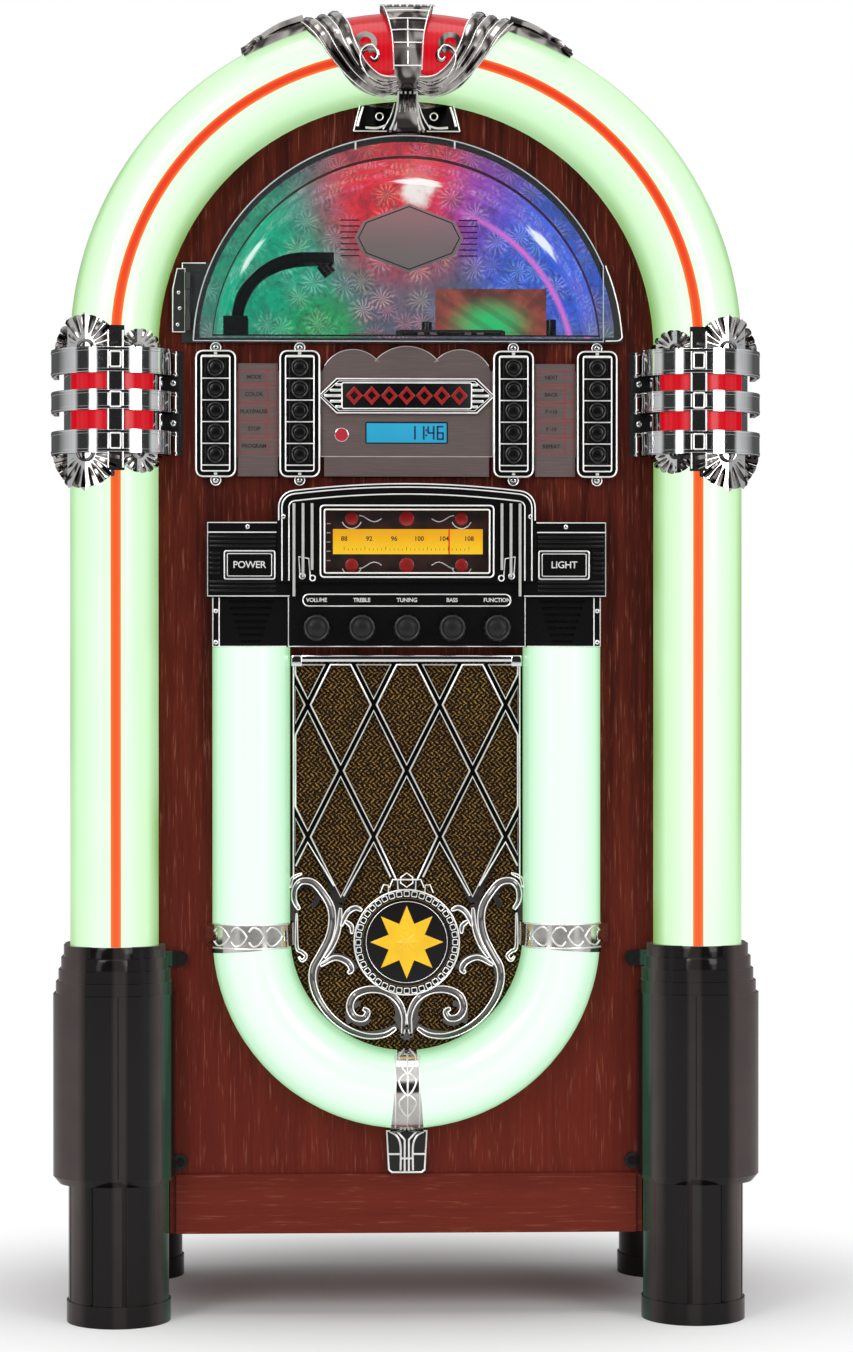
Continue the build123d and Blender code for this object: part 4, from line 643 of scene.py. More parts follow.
def pan_screw(y, radius):
    """A domed screw head with a cross slot, over the origin."""
    head = settle(add(bpy.ops.mesh.primitive_uv_sphere_add, segments=16, ring_count=8, radius=radius * MM,
                      location=(0, y * MM, 0), scale=(1, 0.5, 1)))
    bars = [slab((-radius * a, radius * a), (-radius * b, radius * b), y - radius * 0.7, y - radius * 0.38)
            for a, b in ((0.6, 0.14), (0.14, 0.6))]
    for bar in bars:
        finish_with(head, "BOOLEAN", object=bar, operation="DIFFERENCE", solver="EXACT")
    delete(*bars)
    return head


def copy(piece, x=0.0, z=0.0, y=0.0, mirrored=False):
    """A copy with its own mesh, moved or mirrored across the middle."""
    select(piece)
    bpy.ops.object.duplicate(linked=False)
    made = bpy.context.active_object
    if mirrored:
        made.scale = (-1, 1, 1)
        edit(settle(made), OUTWARDS)
    made.location = (x * MM, y * MM, z * MM)
    return settle(made)


def both(pieces):
    """The pieces joined with their mirror image."""
    half = join(pieces)
    return join([half, copy(half, mirrored=True)])


def screws(name, radius, places, y=0.0):
    """Copies of one screw at places in X and Z, and in Y where it is given."""
    pattern = pan_screw(y, radius)
    copies = [copy(pattern, *place) for place in places]
    delete(pattern)
    dress(join(copies), name, CHROME)


def drawn(lines, **settings):
    """A curve of straight runs. A line is its points and whether it is closed."""
    curve = add(bpy.ops.object.add, type="CURVE").data
    for key, value in settings.items():
        setattr(curve, key, value)
    for points, closed in lines:
        spline = curve.splines.new("POLY")
        spline.points.add(len(points) - 1)
        for point, place in zip(spline.points, points):
            point.co = (*[part * MM for part in place], 1)
        spline.use_cyclic_u = closed
    return curve


def as_mesh():
    bpy.ops.object.convert(target="MESH")
    return bpy.context.active_object


def upright(x, y, z):
    """The active curve or text as a mesh that stands at a place and faces the front."""
    made = as_mesh()
    made.rotation_euler = (pi / 2, 0, 0)
    made.location = (x * MM, y * MM, z * MM)
    return settle(made)


def beads(lines, radius, soft=2, taper=None):
    """Round beads along lines of points."""
    curve = drawn(lines, dimensions="3D", bevel_depth=radius * MM, bevel_resolution=soft, use_fill_caps=True)
    if taper:
        for spline in curve.splines:
            for k, point in enumerate(spline.points):
                point.radius = taper(k / (len(spline.points) - 1))
    return tidy(as_mesh())


def plate(outlines, front, back, bevel=0.0):
    """A flat plate drawn in X and Z. The first outline is its edge and the others are holes."""
    drawn([([(x, z, 0) for x, z in points], True) for points in outlines], dimensions="2D", fill_mode="BOTH",
          extrude=(abs(back - front) / 2 - bevel) * MM, bevel_depth=bevel * MM, bevel_resolution=1,
          offset=-bevel * MM)
    return tidy(upright(0, (front + back) / 2, 0))


def words(text, x, z, size, front, spacing=1.0, thick=0.15, bold=0.12):
    """Raised lettering, centred."""
    lettering = add(bpy.ops.object.text_add).data
    lettering.body = text
    lettering.size = size * MM
    lettering.extrude = thick * MM
    lettering.offset = bold * MM
    lettering.align_x = "CENTER"
    lettering.align_y = "CENTER"
    lettering.space_character = spacing
    lettering.resolution_u = 3
    return upright(x, front, z)


def arc(x, z, radius, start, end, count=12):
    """Points of an arc in the front view, between two angles in degrees."""
    step = radians(end - start) / count
    return [(x + radius * cos(radians(start) + k * step), z + radius * sin(radians(start) + k * step))
            for k in range(count + 1)]


def rounded(x_ends, z_ends, corner, count=4):
    """Outline of a rectangle with round corners."""
    left, right = (x_ends[0] + corner, x_ends[1] - corner)
    low, high = (z_ends[0] + corner, z_ends[1] - corner)
    return [point for x, z, turn in ((right, high, 0), (left, high, 90), (left, low, 180), (right, low, 270))
            for point in arc(x, z, corner, turn, turn + 90, count)]


def circle(x, z, radius, count):
    return arc(x, z, radius, 0, 360, count)[:-1]


def at(points, y):
    return [(x, y, z) for x, z in points]


def line(points, y):
    return at(points, y), False


def loop(points, y):
    return at(points, y), True


def flip(points):
    return [(-point[0], *point[1:]) for point in points]


def mirrored(lines):
    """The lines and their mirror images."""
    return lines + [(flip(points), closed) for points, closed in lines]


def between(a, b, share):
    return tuple(p + (q - p) * share for p, q in zip(a, b))


def smooth_path(points, count=8):
    """A smooth line through points."""
    found = []
    last = len(points) - 1
    for k in range(last):
        around = zip(*(points[min(max(k + step, 0), last)] for step in (-1, 0, 1, 2)))
        pulls = [(2 * b, c - a, 2 * a - 5 * b + 4 * c - d, 3 * b - a - 3 * c + d) for a, b, c, d in around]
        for step in range(count):
            t = step / count
            found.append(tuple(0.5 * (p + q * t + r * t * t + s * t ** 3) for p, q, r, s in pulls))
    return found + [points[-1]]


def on_tube(off, radius, y, most=None):
    """Depth of a shell round an upright tube, at a distance from its middle that is cut off at most."""
    return y - sqrt(radius ** 2 - min(abs(off), most or radius) ** 2)


def over_arch(points, shell=42.0):
    """Points of the front view, laid on a shell round the arch's tube."""
    return [(x, on_tube(sqrt(x * x + (z - ARCH_Z) ** 2) - TUBE_X, shell, TUBE_Y), z) for x, z in points]


def trim(name, lines, radius, finish=None, body="root", soft=2):
    """Beads as a piece of their own."""
    dress(beads(lines, radius, soft), name, finish or EDGE_PAINTED_HIGHLIGHT, body)


# Front panel trim

BANKS = (-152.6, -85.5, 85.5, 152.6)
KEY_ROWS = 5
KEY_PITCH = 17.3
KEY_MIDDLE = 725.5
PLATE_Y = -101.0


def key_bank_trim():
    """Chrome lines round the four key banks and between their keys."""
    outer, inner, bars, marks, spots = [], [], [], [], []
    for x in BANKS:
        outer.append(loop(rounded((x - 15.6, x + 15.6), (673.4, 773.6), 5.6), -104.8))
        inner.append(loop(rounded((x - 11.3, x + 11.3), (677.6, 769.6), 1.5), -107.2))
        for row in range(KEY_ROWS + 1):
            z = KEY_MIDDLE + (row - KEY_ROWS / 2) * KEY_PITCH
            bars.append(line([(x - 11, z), (x + 11, z)], -107.5))
        marks += [slab((x - 1.3, x + 1.3), (z - 1.1, z + 1.1), -105.7, -104.6, 0.2) for z in (675.6, 771.6)]
        spots += [(x, z) for z in (670.6, 776.4)]
    screws("bank_screws", 2.7, spots, -101.4)
    trim("bank_outlines", outer, 0.75)
    trim("bank_rims", inner, 0.65)
    trim("bank_dividers", bars, 0.55)
    dress(join(marks), "bank_marks", WHITE)
    trim("bank_tab_rims", [loop(circle(x, z, 4.0, 20), PLATE_Y) for x, z in spots], 0.5)


def key_caps():
    """A raised ring and a dished middle on each key."""
    for bank, x in enumerate(BANKS, 1):
        for row in range(KEY_ROWS):
            z = KEY_MIDDLE + (row - (KEY_ROWS - 1) / 2) * KEY_PITCH
            body = f"key_{bank}_{KEY_ROWS - row}"
            dress(join([ring(x, z, 6.2, 0.9, -109.1), button(x, z, 4.6, -109.9, -108.8, 0.5)]), f"{body}_cap",
                  KEY, body)


LABELS = (
    (-119.0, ("MODE", "COLOR", "PLAY/PAUSE", "STOP", "PROGRAM")),
    (119.0, ("NEXT", "BACK", "F +10", "F -10", "REPEAT")),
)


def label_plates():
    """Printed boxes and plain function names between the key banks."""
    boxes, names = [], []
    for x, labels in LABELS:
        for z, label in zip((753.0, 739.2, 725.4, 711.6, 697.8), labels):
            boxes.append(loop(rounded((x - 15.2, x + 15.2), (z - 5.4, z + 5.4), 0.4, 1), PLATE_Y))
            boxes.append(line([(x + 8.0, z - 5.4), (x + 8.0, z + 5.4)], PLATE_Y))
            names.append(words(label, x - 3.0, z, 4.3, -101.1, 0.95))
    trim("label_boxes", boxes, 0.3, PRINT_RED, soft=1)
    dress(join(names), "label_names", PRINT_DARK)


# Bars of a digit: middle in X and Z, width and height
DIGIT_BARS = {
    "a": (0, 5.0, 5.0, 1.4), "d": (0, -5.0, 5.0, 1.4), "g": (0, 0, 5.0, 1.4), "b": (-2.2, 2.6, 1.5, 5.6),
    "c": (2.2, 2.6, 1.5, 5.6), "e": (-2.2, -2.6, 1.5, 5.6), "f": (2.2, -2.6, 1.5, 5.6),
}
DIGITS = ((4.5, "cf"), (11.5, "cf"), (19.5, "bcfg"), (27.0, "abdefg"))
BADGE_Z = 738.0


def centre_plate_trim():
    """Edges of the plate, the bare name badge with its stripes, and the display."""
    cloud = arc(-43, 749, 26.3, 150, 38) + arc(0, 744.7, 33.2, 140, 40, 14) + arc(43, 749, 26.3, 142, 30)
    lines = [line(cloud, PLATE_Y)] + mirrored([line([(-69.3, 690.0), (-69.3, 759.0)], PLATE_Y)])
    lines.append(line([(-69, 689.6), (69, 689.6)], PLATE_Y))
    trim("plate_edges", lines, 0.35, PLATE_EDGE)
    z = BADGE_Z
    half, shoulder, rise = 70.0, 56.0, 13.6
    hexagon = [(-half, z), (-shoulder, z + rise), (shoulder, z + rise), (half, z), (shoulder, z - rise),
               (-shoulder, z - rise)]
    inner_line = [(px * 0.972, z + (pz - z) * 0.87) for px, pz in hexagon]
    outline = [beads([loop(hexagon, -104.0)], 0.7), beads([loop(inner_line, -104.0)], 0.4)]
    dress(join(outline), "badge_outline", EDGE_PAINTED_HIGHLIGHT)
    stripes = []
    for row, reach in ((-2, 57.0), (-1, 61.5), (0, 66.0), (1, 61.5), (2, 57.0)):
        level = z + row * 4.4
        for ends in ((-reach, -52.5), (52.5, reach)):
            stripes.append(slab(ends, (level - 1.1, level + 1.1), -105.2, -103.8, 0.4))
    dress(join(stripes), "badge_stripes", EDGE_PAINTED_HIGHLIGHT)
    dress(plate([hexagon], -104.2, -103.6), "badge_field", TRIM_BLACK)
    panel = rounded((-51.5, 51.5), (z - 10, z + 10), 1.2)
    dress(plate([panel], -105.4, -103.8, 0.3), "badge_panel", TRIM_BLACK)
    lozenge = plate([[(-wide, z), (0.0, z + tall), (wide, z), (0.0, z - tall)] for wide, tall in
                     ((6.8, 7.6), (3.4, 3.8))], -106.3, -105.0, 0.3)
    copies = [copy(lozenge, x) for x in (-42, -28, -14, 14, 28, 42)]
    dress(join(copies + [lozenge]), "badge_lozenges", BADGE_RED)
    trim("badge_panel_rim", [loop(rounded((-51.8, 51.8), (z - 10.3, z + 10.3), 1.4), -105.2)], 0.6)
    trim("display_rim", [loop(rounded((-32.6, 32.6), (700.4, 717.0), 0.8), PLATE_Y)], 0.5, MATTE_BLACK)
    digits = []
    for x, bars in DIGITS:
        for dx, dz, wide, tall in (DIGIT_BARS[bar] for bar in bars):
            left, low = x + dx - wide / 2, 708.7 + dz - tall / 2
            digits.append(slab((left, left + wide), (low, low + tall), -100.25, -99.9))
    digits += [slab((15.0, 16.5), (708.0 + dz, 709.5 + dz), -100.25, -99.9) for dz in (-2, 2)]
    dress(join(digits), "display_digits", DIGIT)
    dress(ring(-52, 707, 5.2, 0.5, -101.2), "sensor_rim", CHROME)


# Radio trim

TOWER_Y = -114.0
WING_Y = -111.0
LOUVRE_Y = -107.0
DIAL_Y = -116.0
WAVE_Y = -101.3


def tower_line(inset, low):
    """Outline over the top of the radio's tower, drawn in by an inset."""
    left = -103.0 + inset
    corner = max(14.0 - inset, 2.0)
    shoulder = 662.5 - inset
    half_top = -left - corner
    shares = [-1 + k / 8 for k in range(1, 16)]
    top = [(share * half_top, shoulder + 5.5 * (1 - share ** 2)) for share in shares]
    points = [(left, low)] + arc(left + corner, shoulder - corner, corner, 180, 95, 6)
    return line(points + top + flip(points[::-1]), TOWER_Y)


def radio_trim():
    """Chrome lines of the tower, wings, louvre panels and knob panel."""
    trim("tower_lines", [tower_line(0.8, 638), tower_line(3.4, 590), tower_line(9.0, 590)], 0.6)
    sides = [line([(103.5, 636.3), (158.8, 636.3), (158.8, 577.8), (93.5, 577.8)], WING_Y),
             line([(104.0, 628.6), (158.6, 628.6)], WING_Y),
             line([(154.8, 576.5), (154.8, 537.6), (96.0, 537.6)], LOUVRE_Y),
             line([(149.8, 576.5), (149.8, 538.0)], LOUVRE_Y)]
    knobs = [line([(-94.5, 588.0), (-94.5, 537.6), (94.5, 537.6), (94.5, 588.0)], -109.0),
             loop(rounded((-83.0, 83.0), (569.8, 579.2), 4.6), -110.0)]
    trim("radio_lines", mirrored(sides) + knobs, 0.55)
    ridges = [(104.5, z) for z in (582.0, 585.6, 589.2, 617.6, 621.2, 624.8)]
    ridges += [(149.0, z) for z in (596.0, 600.0, 604.0, 608.0, 612.0)]
    dress(both([slab((x, 157.5), (z - 1.1, z + 1.1), -112.2, -110.6, 0.7) for x, z in ridges]), "wing_ridges",
          TRIM_BLACK)
    trim("button_frames", mirrored([loop(rounded((105.4, 145.4), (591.4, 613.6), 1.5), -112.3)]), 0.7)
    frame_edge = rounded((-69.0, 69.0), (592.8, 649.8), 3.0)
    opening = rounded((-65.8, 65.8), (596.0, 646.6), 1.5)
    trim("dial_frame", [loop(frame_edge, DIAL_Y), loop(opening, DIAL_Y)], 0.75)
    dress(plate([frame_edge, rounded((-65.6, 65.6), (596.2, 646.4), 1.5)], -116.3, -115.8), "dial_frame_face",
          TRIM_BLACK)
    ribs = [line([(x, 651.5), (x, low)], -116.2) for x, low in ((90.0, 577.5), (82.8, 592.5), (75.6, 598.5))]
    trim("tower_ribs", mirrored(ribs), 1.2, soft=3)
    notes = [line([(77.0, 592.5), (78.2, 607.5), (86.2, 609.0), (85.2, 594.0)], -115.0),
             loop(circle(75.2, 592.0, 2.2, 12), -115.0), loop(circle(83.4, 593.6, 2.2, 12), -115.0)]
    trim("note_ornaments", mirrored(notes), 0.55)
    places = [(-127, 633.0, -111.2), (127, 633.0, -111.2), (-98.5, 641.0, -114.2), (98.5, 641.0, -114.2)]
    screws("radio_screws", 2.0, places + [(x, z, -107.2) for x in (-152.4, 152.4) for z in (566.0, 541.0)])


KNOBS = ((-72.0, "VOLUME", "volume_knob"), (-36.0, "TREBLE", "treble_knob"), (0.0, "TUNING", "tuning_knob"),
         (36.0, "BASS", "bass_knob"), (72.0, "FUNCTION", "selector_knob"))
KNOB_Z = 552.3


def radio_labels():
    """Plain names of the controls."""
    names = [words(text, x, 574.5, 4.4, -111.1, 0.95) for x, text, _ in KNOBS]
    dress(join(names), "knob_names", WHITE)
    for x, text in ((-125.4, "POWER"), (125.4, "LIGHT")):
        body = f"{text.lower()}_button"
        dress(words(text, x, 602.4, 7.8, -114.6, 0.95, 0.2, 0.08), f"{body}_name", WHITE, body)
        edge = loop(rounded((x - 17.6, x + 17.6), (593.6, 611.4), 1.0), -114.35)
        trim(f"{body}_edge", [edge], 0.35, body=body)


def knob_faces():
    """A rim and a dished face on each of the five knobs."""
    for x, _, body in KNOBS:
        face = join([ring(x, KNOB_Z, 9.3, 0.9, -122.3, 36), ring(x, KNOB_Z, 6.4, 0.35, -122.5, 30),
                     button(x, KNOB_Z, 5.8, -122.7, -122.0, 0.3)])
        dress(face, f"{body}_face", KNOB, body)


def dial_art():
    """Scale numbers and a plain red and white pattern above and below the scale."""
    marks = [words(text, -50 + k * 20.0, 623.8, 5.2, -101.1) for k, text in
             enumerate(("88", "92", "96", "100", "104", "108"))]
    for k in range(31):
        tall = 1.6 if k % 5 else 3.0
        marks.append(slab((-50.2 + k * 3.33, -49.8 + k * 3.33), (614.5, 614.5 + tall), -101.2, -100.9))
    dress(join(marks), "dial_numbers", DIAL_PRINT)
    discs, lines = [], []
    for z, way in ((640.0, -1), (602.6, 1)):
        for x, radius in ((0, 6.0), (-44, 5.2), (44, 5.2)):
            discs.append(button(x, z, radius, -101.7, -100.9, 0.3, 28))
        for side in (-1, 1):
            wave = [(side * (20 + k * 3.0), z + way * 2.6 * sin(k * 0.8)) for k in range(7)]
            lines += [line(wave, WAVE_Y), line(arc(side * 44, z, 8.0, 200, 340, 8), WAVE_Y)]
    lines += [line([(-64, z), (-61, z)], WAVE_Y) for z in (636.0, 628.6, 621.2, 613.8, 606.4)]
    dress(join(discs), "dial_rounds", BADGE_RED)
    trim("dial_waves", lines, 0.45, WHITE)


# Grille

LATTICE_X = 26.4
LATTICE_Z = 52.8
LATTICE_Y = -103.0
GRILLE_HALF = 89.0
GRILLE_TOP = 523.0


def cut(points, axis, way, limit):
    """Cut an outline off where it passes a limit along an axis."""
    kept = []
    for k, here in enumerate(points):
        last = points[k - 1]
        if (way * here[axis] <= limit) != (way * last[axis] <= limit):
            kept.append(between(last, here, (way * limit - last[axis]) / (here[axis] - last[axis])))
        if way * here[axis] <= limit:
            kept.append(here)
    return kept


def diamond(x, z, inset):
    """Outline of one cell of the lattice, drawn in by an inset, and cut by the grille's sides and top bar."""
    length = sqrt(LATTICE_X ** 2 + LATTICE_Z ** 2)
    wide = LATTICE_X - inset * length / LATTICE_Z
    tall = LATTICE_Z - inset * length / LATTICE_X
    points = [(x + wide, z), (x, z + tall), (x - wide, z), (x, z - tall)]
    for axis, way, limit in ((0, 1, GRILLE_HALF), (0, -1, GRILLE_HALF), (1, 1, GRILLE_TOP)):
        points = cut(points, axis, way, limit)
    return points


def lattice():
    """Bright edges of the lattice's cells. The lowest middle cell ends on the crest."""
    lines = []
    for row, z in enumerate((543.8, 491.0, 438.2, 385.4)):
        for column in range(-4, 5):
            cell = diamond(column * LATTICE_X, z, 2.1) if (column + row) % 2 else []
            if row == 3 and column == 0:
                cell = [(0.0, z + 48.5), (-24.3, z), (-8.5, 351.0), (8.5, 351.0), (24.3, z)]
            if len(cell) > 2:
                lines.append(loop(cell, LATTICE_Y))
    ends = [line([(50.5, 338.0), (26.4, 381.0), (13.0, 353.0)], LATTICE_Y),
            line([(58.0, 346.0), (79.2, 381.0), (88.8, 362.0)], LATTICE_Y)]
    trim("grille_lattice_edges", lines + mirrored(ends), 0.85)


def strand(points, half, ends=0.4):
    """A tapered scroll: a dark rounded body inside a bright closed outline."""
    path = smooth_path(points, 6)
    left, right = [], []
    last = len(path) - 1

    def width(t):
        return ends + (1 - ends) * max(sin(pi * t), 0.0) ** 0.6

    for k, (px, pz) in enumerate(path):
        before, after = path[max(k - 1, 0)], path[min(k + 1, last)]
        dx, dz = after[0] - before[0], after[1] - before[1]
        reach = half * width(k / last) / (sqrt(dx * dx + dz * dz) or 1.0)
        left.append((px - dz * reach, pz + dx * reach))
        right.append((px + dz * reach, pz - dx * reach))
    return beads([line(path, -102.2)], half * 0.9, 3, width), loop(left + right[::-1], -103.3)


SCROLLS = (
    (((86.0, 327.4), (89.9, 334.6), (89.4, 343.9), (84.0, 349.8), (74.8, 348.6), (66.9, 339.9), (61.0, 329.4),
      (59.6, 317.5), (62.3, 304.3), (68.9, 291.2), (74.6, 280.6), (75.2, 268.8), (70.8, 255.6), (61.6, 242.4),
      (48.4, 231.9), (32.6, 226.0), (18.2, 226.6), (8.9, 231.9)), 2.7),
    (((53.0, 328.0), (54.4, 312.2), (59.0, 299.1), (65.6, 288.5)), 1.7),
    (((52.4, 314.0), (47.8, 324.1), (41.5, 328.4), (36.0, 326.5)), 1.8),
    (((49.5, 318.0), (44.5, 314.0), (43.8, 308.0)), 1.5),
    (((68.9, 282.3), (57.5, 288.5), (47.8, 285.2), (44.2, 279.0), (47.0, 276.4)), 2.0),
    (((3.0, 228.0), (2.4, 242.4), (7.6, 254.3), (18.2, 261.8), (31.3, 263.0), (42.0, 258.2), (45.6, 249.0),
      (41.9, 241.3), (34.4, 240.0), (31.2, 245.1), (34.8, 247.7)), 2.6),
    (((88.0, 324.0), (88.2, 308.0), (87.6, 296.0), (84.0, 293.4), (80.6, 289.8), (83.6, 286.2),
      (86.4, 289.4)), 1.1),
    (((93.0, 345.0), (91.5, 352.0), (84.0, 356.0)), 1.0),
)


def scrollwork():
    """Leaf scrolls round the medallion, and the crest above it."""
    strands = [strand(points, half) for points, half in SCROLLS]
    half = [(5.0, 348.5), (4.6, 353.0)]
    crest = [loop([(0.0, 345.0)] + half + [(0.0, 356.5)] + flip(half[::-1]), -104.4)]
    for x, z in ((9.6, 347.8), (17.0, 343.6)):
        leaf = [(x - 2.6, z - 4.6), (x - 2.2, z + 3.0), (x + 1.6, z + 3.4), (x + 4.2, z - 3.2)]
        crest += mirrored([line(leaf, -104.2)])
    drops = [button(x, z, 2.3, -105.0, -101.5, 0.8, 16) for x, z in
             ((-3.4, 226.0), (3.4, 226.0), (0.0, 233.0))]
    dress(join([both([body for body, edge in strands])] + drops), "grille_scrolls", SHADOW_CHROME)
    trim("grille_scroll_edges", mirrored([edge for body, edge in strands]) + crest, 0.62)


def grille():
    """The chrome grille with its top bar, lattice and scrolls."""
    lattice()
    scrollwork()
    trim("grille_side_lines", mirrored([line([(90.6, GRILLE_TOP), (90.6, 352.0)], -102.6)]), 0.8)
    parts = [slab((-92.0, 92.0), (525.2, 530.8), -104.5, -99.2, 1.2)]
    parts += [slab((x - 4.5, x + 4.5), (521.5, 530.8), -105.2, -99.2, 1.2) for x in (-88.0, 88.0)]
    dress(join(parts), "grille_top_bar", CHROME)


STAR_Z = 301.0
STAR_TIP = 29.5
STAR_NOTCH = 15.8
WINDOWS = 40


def medallion_parts():
    """Ring of small windows round the star."""
    rim = circle(0, STAR_Z, 42.0, 96)
    trim("medallion_rim", [loop(rim, -105.0)], 0.7)
    trim("medallion_line", [loop(circle(0, STAR_Z, 32.5, 80), -103.2)], 0.3)
    dress(plate([rim, circle(0, STAR_Z, 35.6, 96)], -105.1, -104.6), "medallion_band", MATTE_BLACK)
    windows = []
    for k in range(WINDOWS):
        c, s = cos(2 * pi * k / WINDOWS), sin(2 * pi * k / WINDOWS)
        corners = [((38.8 + out) * c - across * s, STAR_Z + (38.8 + out) * s + across * c)
                   for out, across in rounded((-2.0, 2.0), (-2.1, 2.1), 0.7, 2)]
        windows.append(loop(corners, -105.2))
    trim("medallion_windows", windows, 0.42, soft=1)
    dress(plate([circle(0, STAR_Z, 35.0, 80)], -103.4, -103.0), "medallion_face", BLACK)
    star = settle(add(bpy.ops.mesh.primitive_cone_add, vertices=16, radius1=STAR_TIP * MM, depth=5.5 * MM,
                      end_fill_type="NGON", location=(0, -106.1 * MM, STAR_Z * MM), rotation=(pi / 2, 0, 0)))
    for vertex in star.data.vertices:
        x, z = vertex.co.x, vertex.co.z - STAR_Z * MM
        out = sqrt(x * x + z * z)
        if out > 0.01:
            odd = round(atan2(z, x) / (pi / 8)) % 2
            share = (STAR_NOTCH if odd else STAR_TIP) * MM / out
            vertex.co.x, vertex.co.z = x * share, STAR_Z * MM + z * share
    dress(star, "medallion_star", GOLD_PAINTED_SHINE, smooth=5)


# Clips on the small tube

CLIP_Z = 307.7
CLIP_SHELL = 34.3
END_PLATE_Y = -105.0


def over_clip(points, foot=False):
    """Points of the front view, laid on the clips round the small tube's sides, or round its foot."""
    return [(x, on_tube((U_Z - z if foot else abs(x)) - U_X, CLIP_SHELL, U_Y, 34.2), z) for x, z in points]


def clip_ornaments():
    """Leaf pattern and fan ends of the clips, and the ribs of the end plate."""
    lines = []
    for x in (99.0, 113.0, 127.0, 141.0):
        for way in (-1, 1):
            leaf = [(x + out, CLIP_Z + way * up) for out, up in ((0, 0), (4, 5.5), (9, 7.5), (12.5, 4.0))]
            lines.append((smooth_path(over_clip(leaf), 4), False))
    lines += [(over_clip([(x, z) for x in range(94, 156, 3)]), False) for z in (298.3, 317.2)]
    trim("side_clip_leaves", mirrored(lines), 0.8)
    fans = []
    for k in range(-3, 4):
        rise = sin(k * 0.32)
        near = CLIP_Z + k * 0.9
        outer = over_clip([(151.0, near), (156.0, CLIP_Z + 6.0 * rise)])
        fans.append((outer + [(160.6, -99.6, CLIP_Z + 8.6 * rise)], False))
        fans.append((over_clip([(98.0, near)]) + [(92.4, -104.0, CLIP_Z + 8.4 * rise)], False))
    dress(beads(mirrored(fans), 1.5, 2, lambda t: 0.6 + 0.5 * t), "side_clip_fans", CHROME)
    foot = []
    for z in (205.0, 188.0, 171.0):
        for side in (-1, 1):
            leaf = [(0.5 * side, z - 6), (4.5 * side, z - 1), (6.8 * side, z + 6), (2.2 * side, z + 11)]
            foot.append((over_clip(smooth_path(leaf, 4), True), False))
    foot += [(over_clip([(x, z) for z in range(155, 214, 3)], True), False) for x in (-9.6, 9.6, 0.0)]
    trim("foot_clip_leaves", foot, 0.75)
    half = [(12.0, 117.0), (14.3, 119.0), (16.0, 150.0)]
    ribs = [line([(1.7, 118.0), (1.7, 143.0), (7.7, 149.5)], END_PLATE_Y),
            line(smooth_path([(5.0, 118.5), (5.0, 138.0), (8.0, 146.0), (13.5, 149.5)]), END_PLATE_Y),
            line([(5.0, 131.5), (14.6, 131.5)], END_PLATE_Y)]
    lines = [loop(flip(half[::-1]) + half, END_PLATE_Y)] + mirrored(ribs)
    lines.append(line([(-5.0, 128.0), (5.0, 128.0)], END_PLATE_Y))
    trim("end_plate_ribs", lines, 0.9)


# Side clamps

CLAMP_X = 233.25
CLAMP_Y = -94.2
CLAMP_RADIUS = 50.8


def over_clamp(points, proud=0.0):
    """Points of the front view, laid on a clamp's bands."""
    return [(x, on_tube(x - CLAMP_X, CLAMP_RADIUS + proud, CLAMP_Y), z) for x, z in points]


def spun(profile, x, y, radius):
    """A profile spun round the front of a tube, with closed ends."""
    made = settle(add(bpy.ops.mesh.primitive_circle_add, vertices=len(profile), radius=MM))
    for vertex, (out, z) in zip(made.data.vertices, profile):
        vertex.co = ((x + radius + out) * MM, y * MM, z * MM)
    turn = {"steps": 36, "angle": pi, "center": (x * MM, y * MM, 0), "axis": (0, 0, 1)}
    edit(made, (bpy.ops.mesh.spin, turn), (bpy.ops.mesh.select_all, {"action": "DESELECT"}),
         (bpy.ops.mesh.select_non_manifold, {}), (bpy.ops.mesh.fill_holes, {"sides": len(profile)}))
    return tidy(made)


def band(z, height):
    """One chrome band of a clamp, with raised edges."""
    half = height / 2
    low = [(-1.9, -half), (-0.7, -half), (0.3, 1.0 - half), (0.3, 3.0 - half), (-0.9, 3.8 - half)]
    profile = low + [(out, -up) for out, up in reversed(low)]
    return spun([(out, z + up) for out, up in profile], CLAMP_X, CLAMP_Y, CLAMP_RADIUS)


def fan_shell(x, z, radius, way, rays):
    """A fan of rounded rays that spreads over the tube from a band's edge."""
    lines = []
    for k in range(rays):
        turn = pi * (k + 0.5) / rays
        points = []
        for step in range(7):
            out = radius * (0.22 + 0.70 * step / 6)
            px, pz = x + out * cos(turn), z + way * out * sin(turn)
            points.append((px, on_tube(px - TUBE_X, 38.0, TUBE_Y, 37.5) - 1.2 * sin(pi * step / 6), pz))
        lines.append((points, False))
    fan = beads(lines, radius * 0.9 * pi / rays / 2, 2, lambda t: 0.28 + 0.72 * t)
    hub = over_clamp(arc(x, z, radius * 0.2, 0, 180 * way, 10), -0.8)
    return join([fan, beads([(hub, False)], 1.3)])


CLAMP_BANDS = ((763.3, 20.6), (731.8, 16.4), (699.2, 18.5))


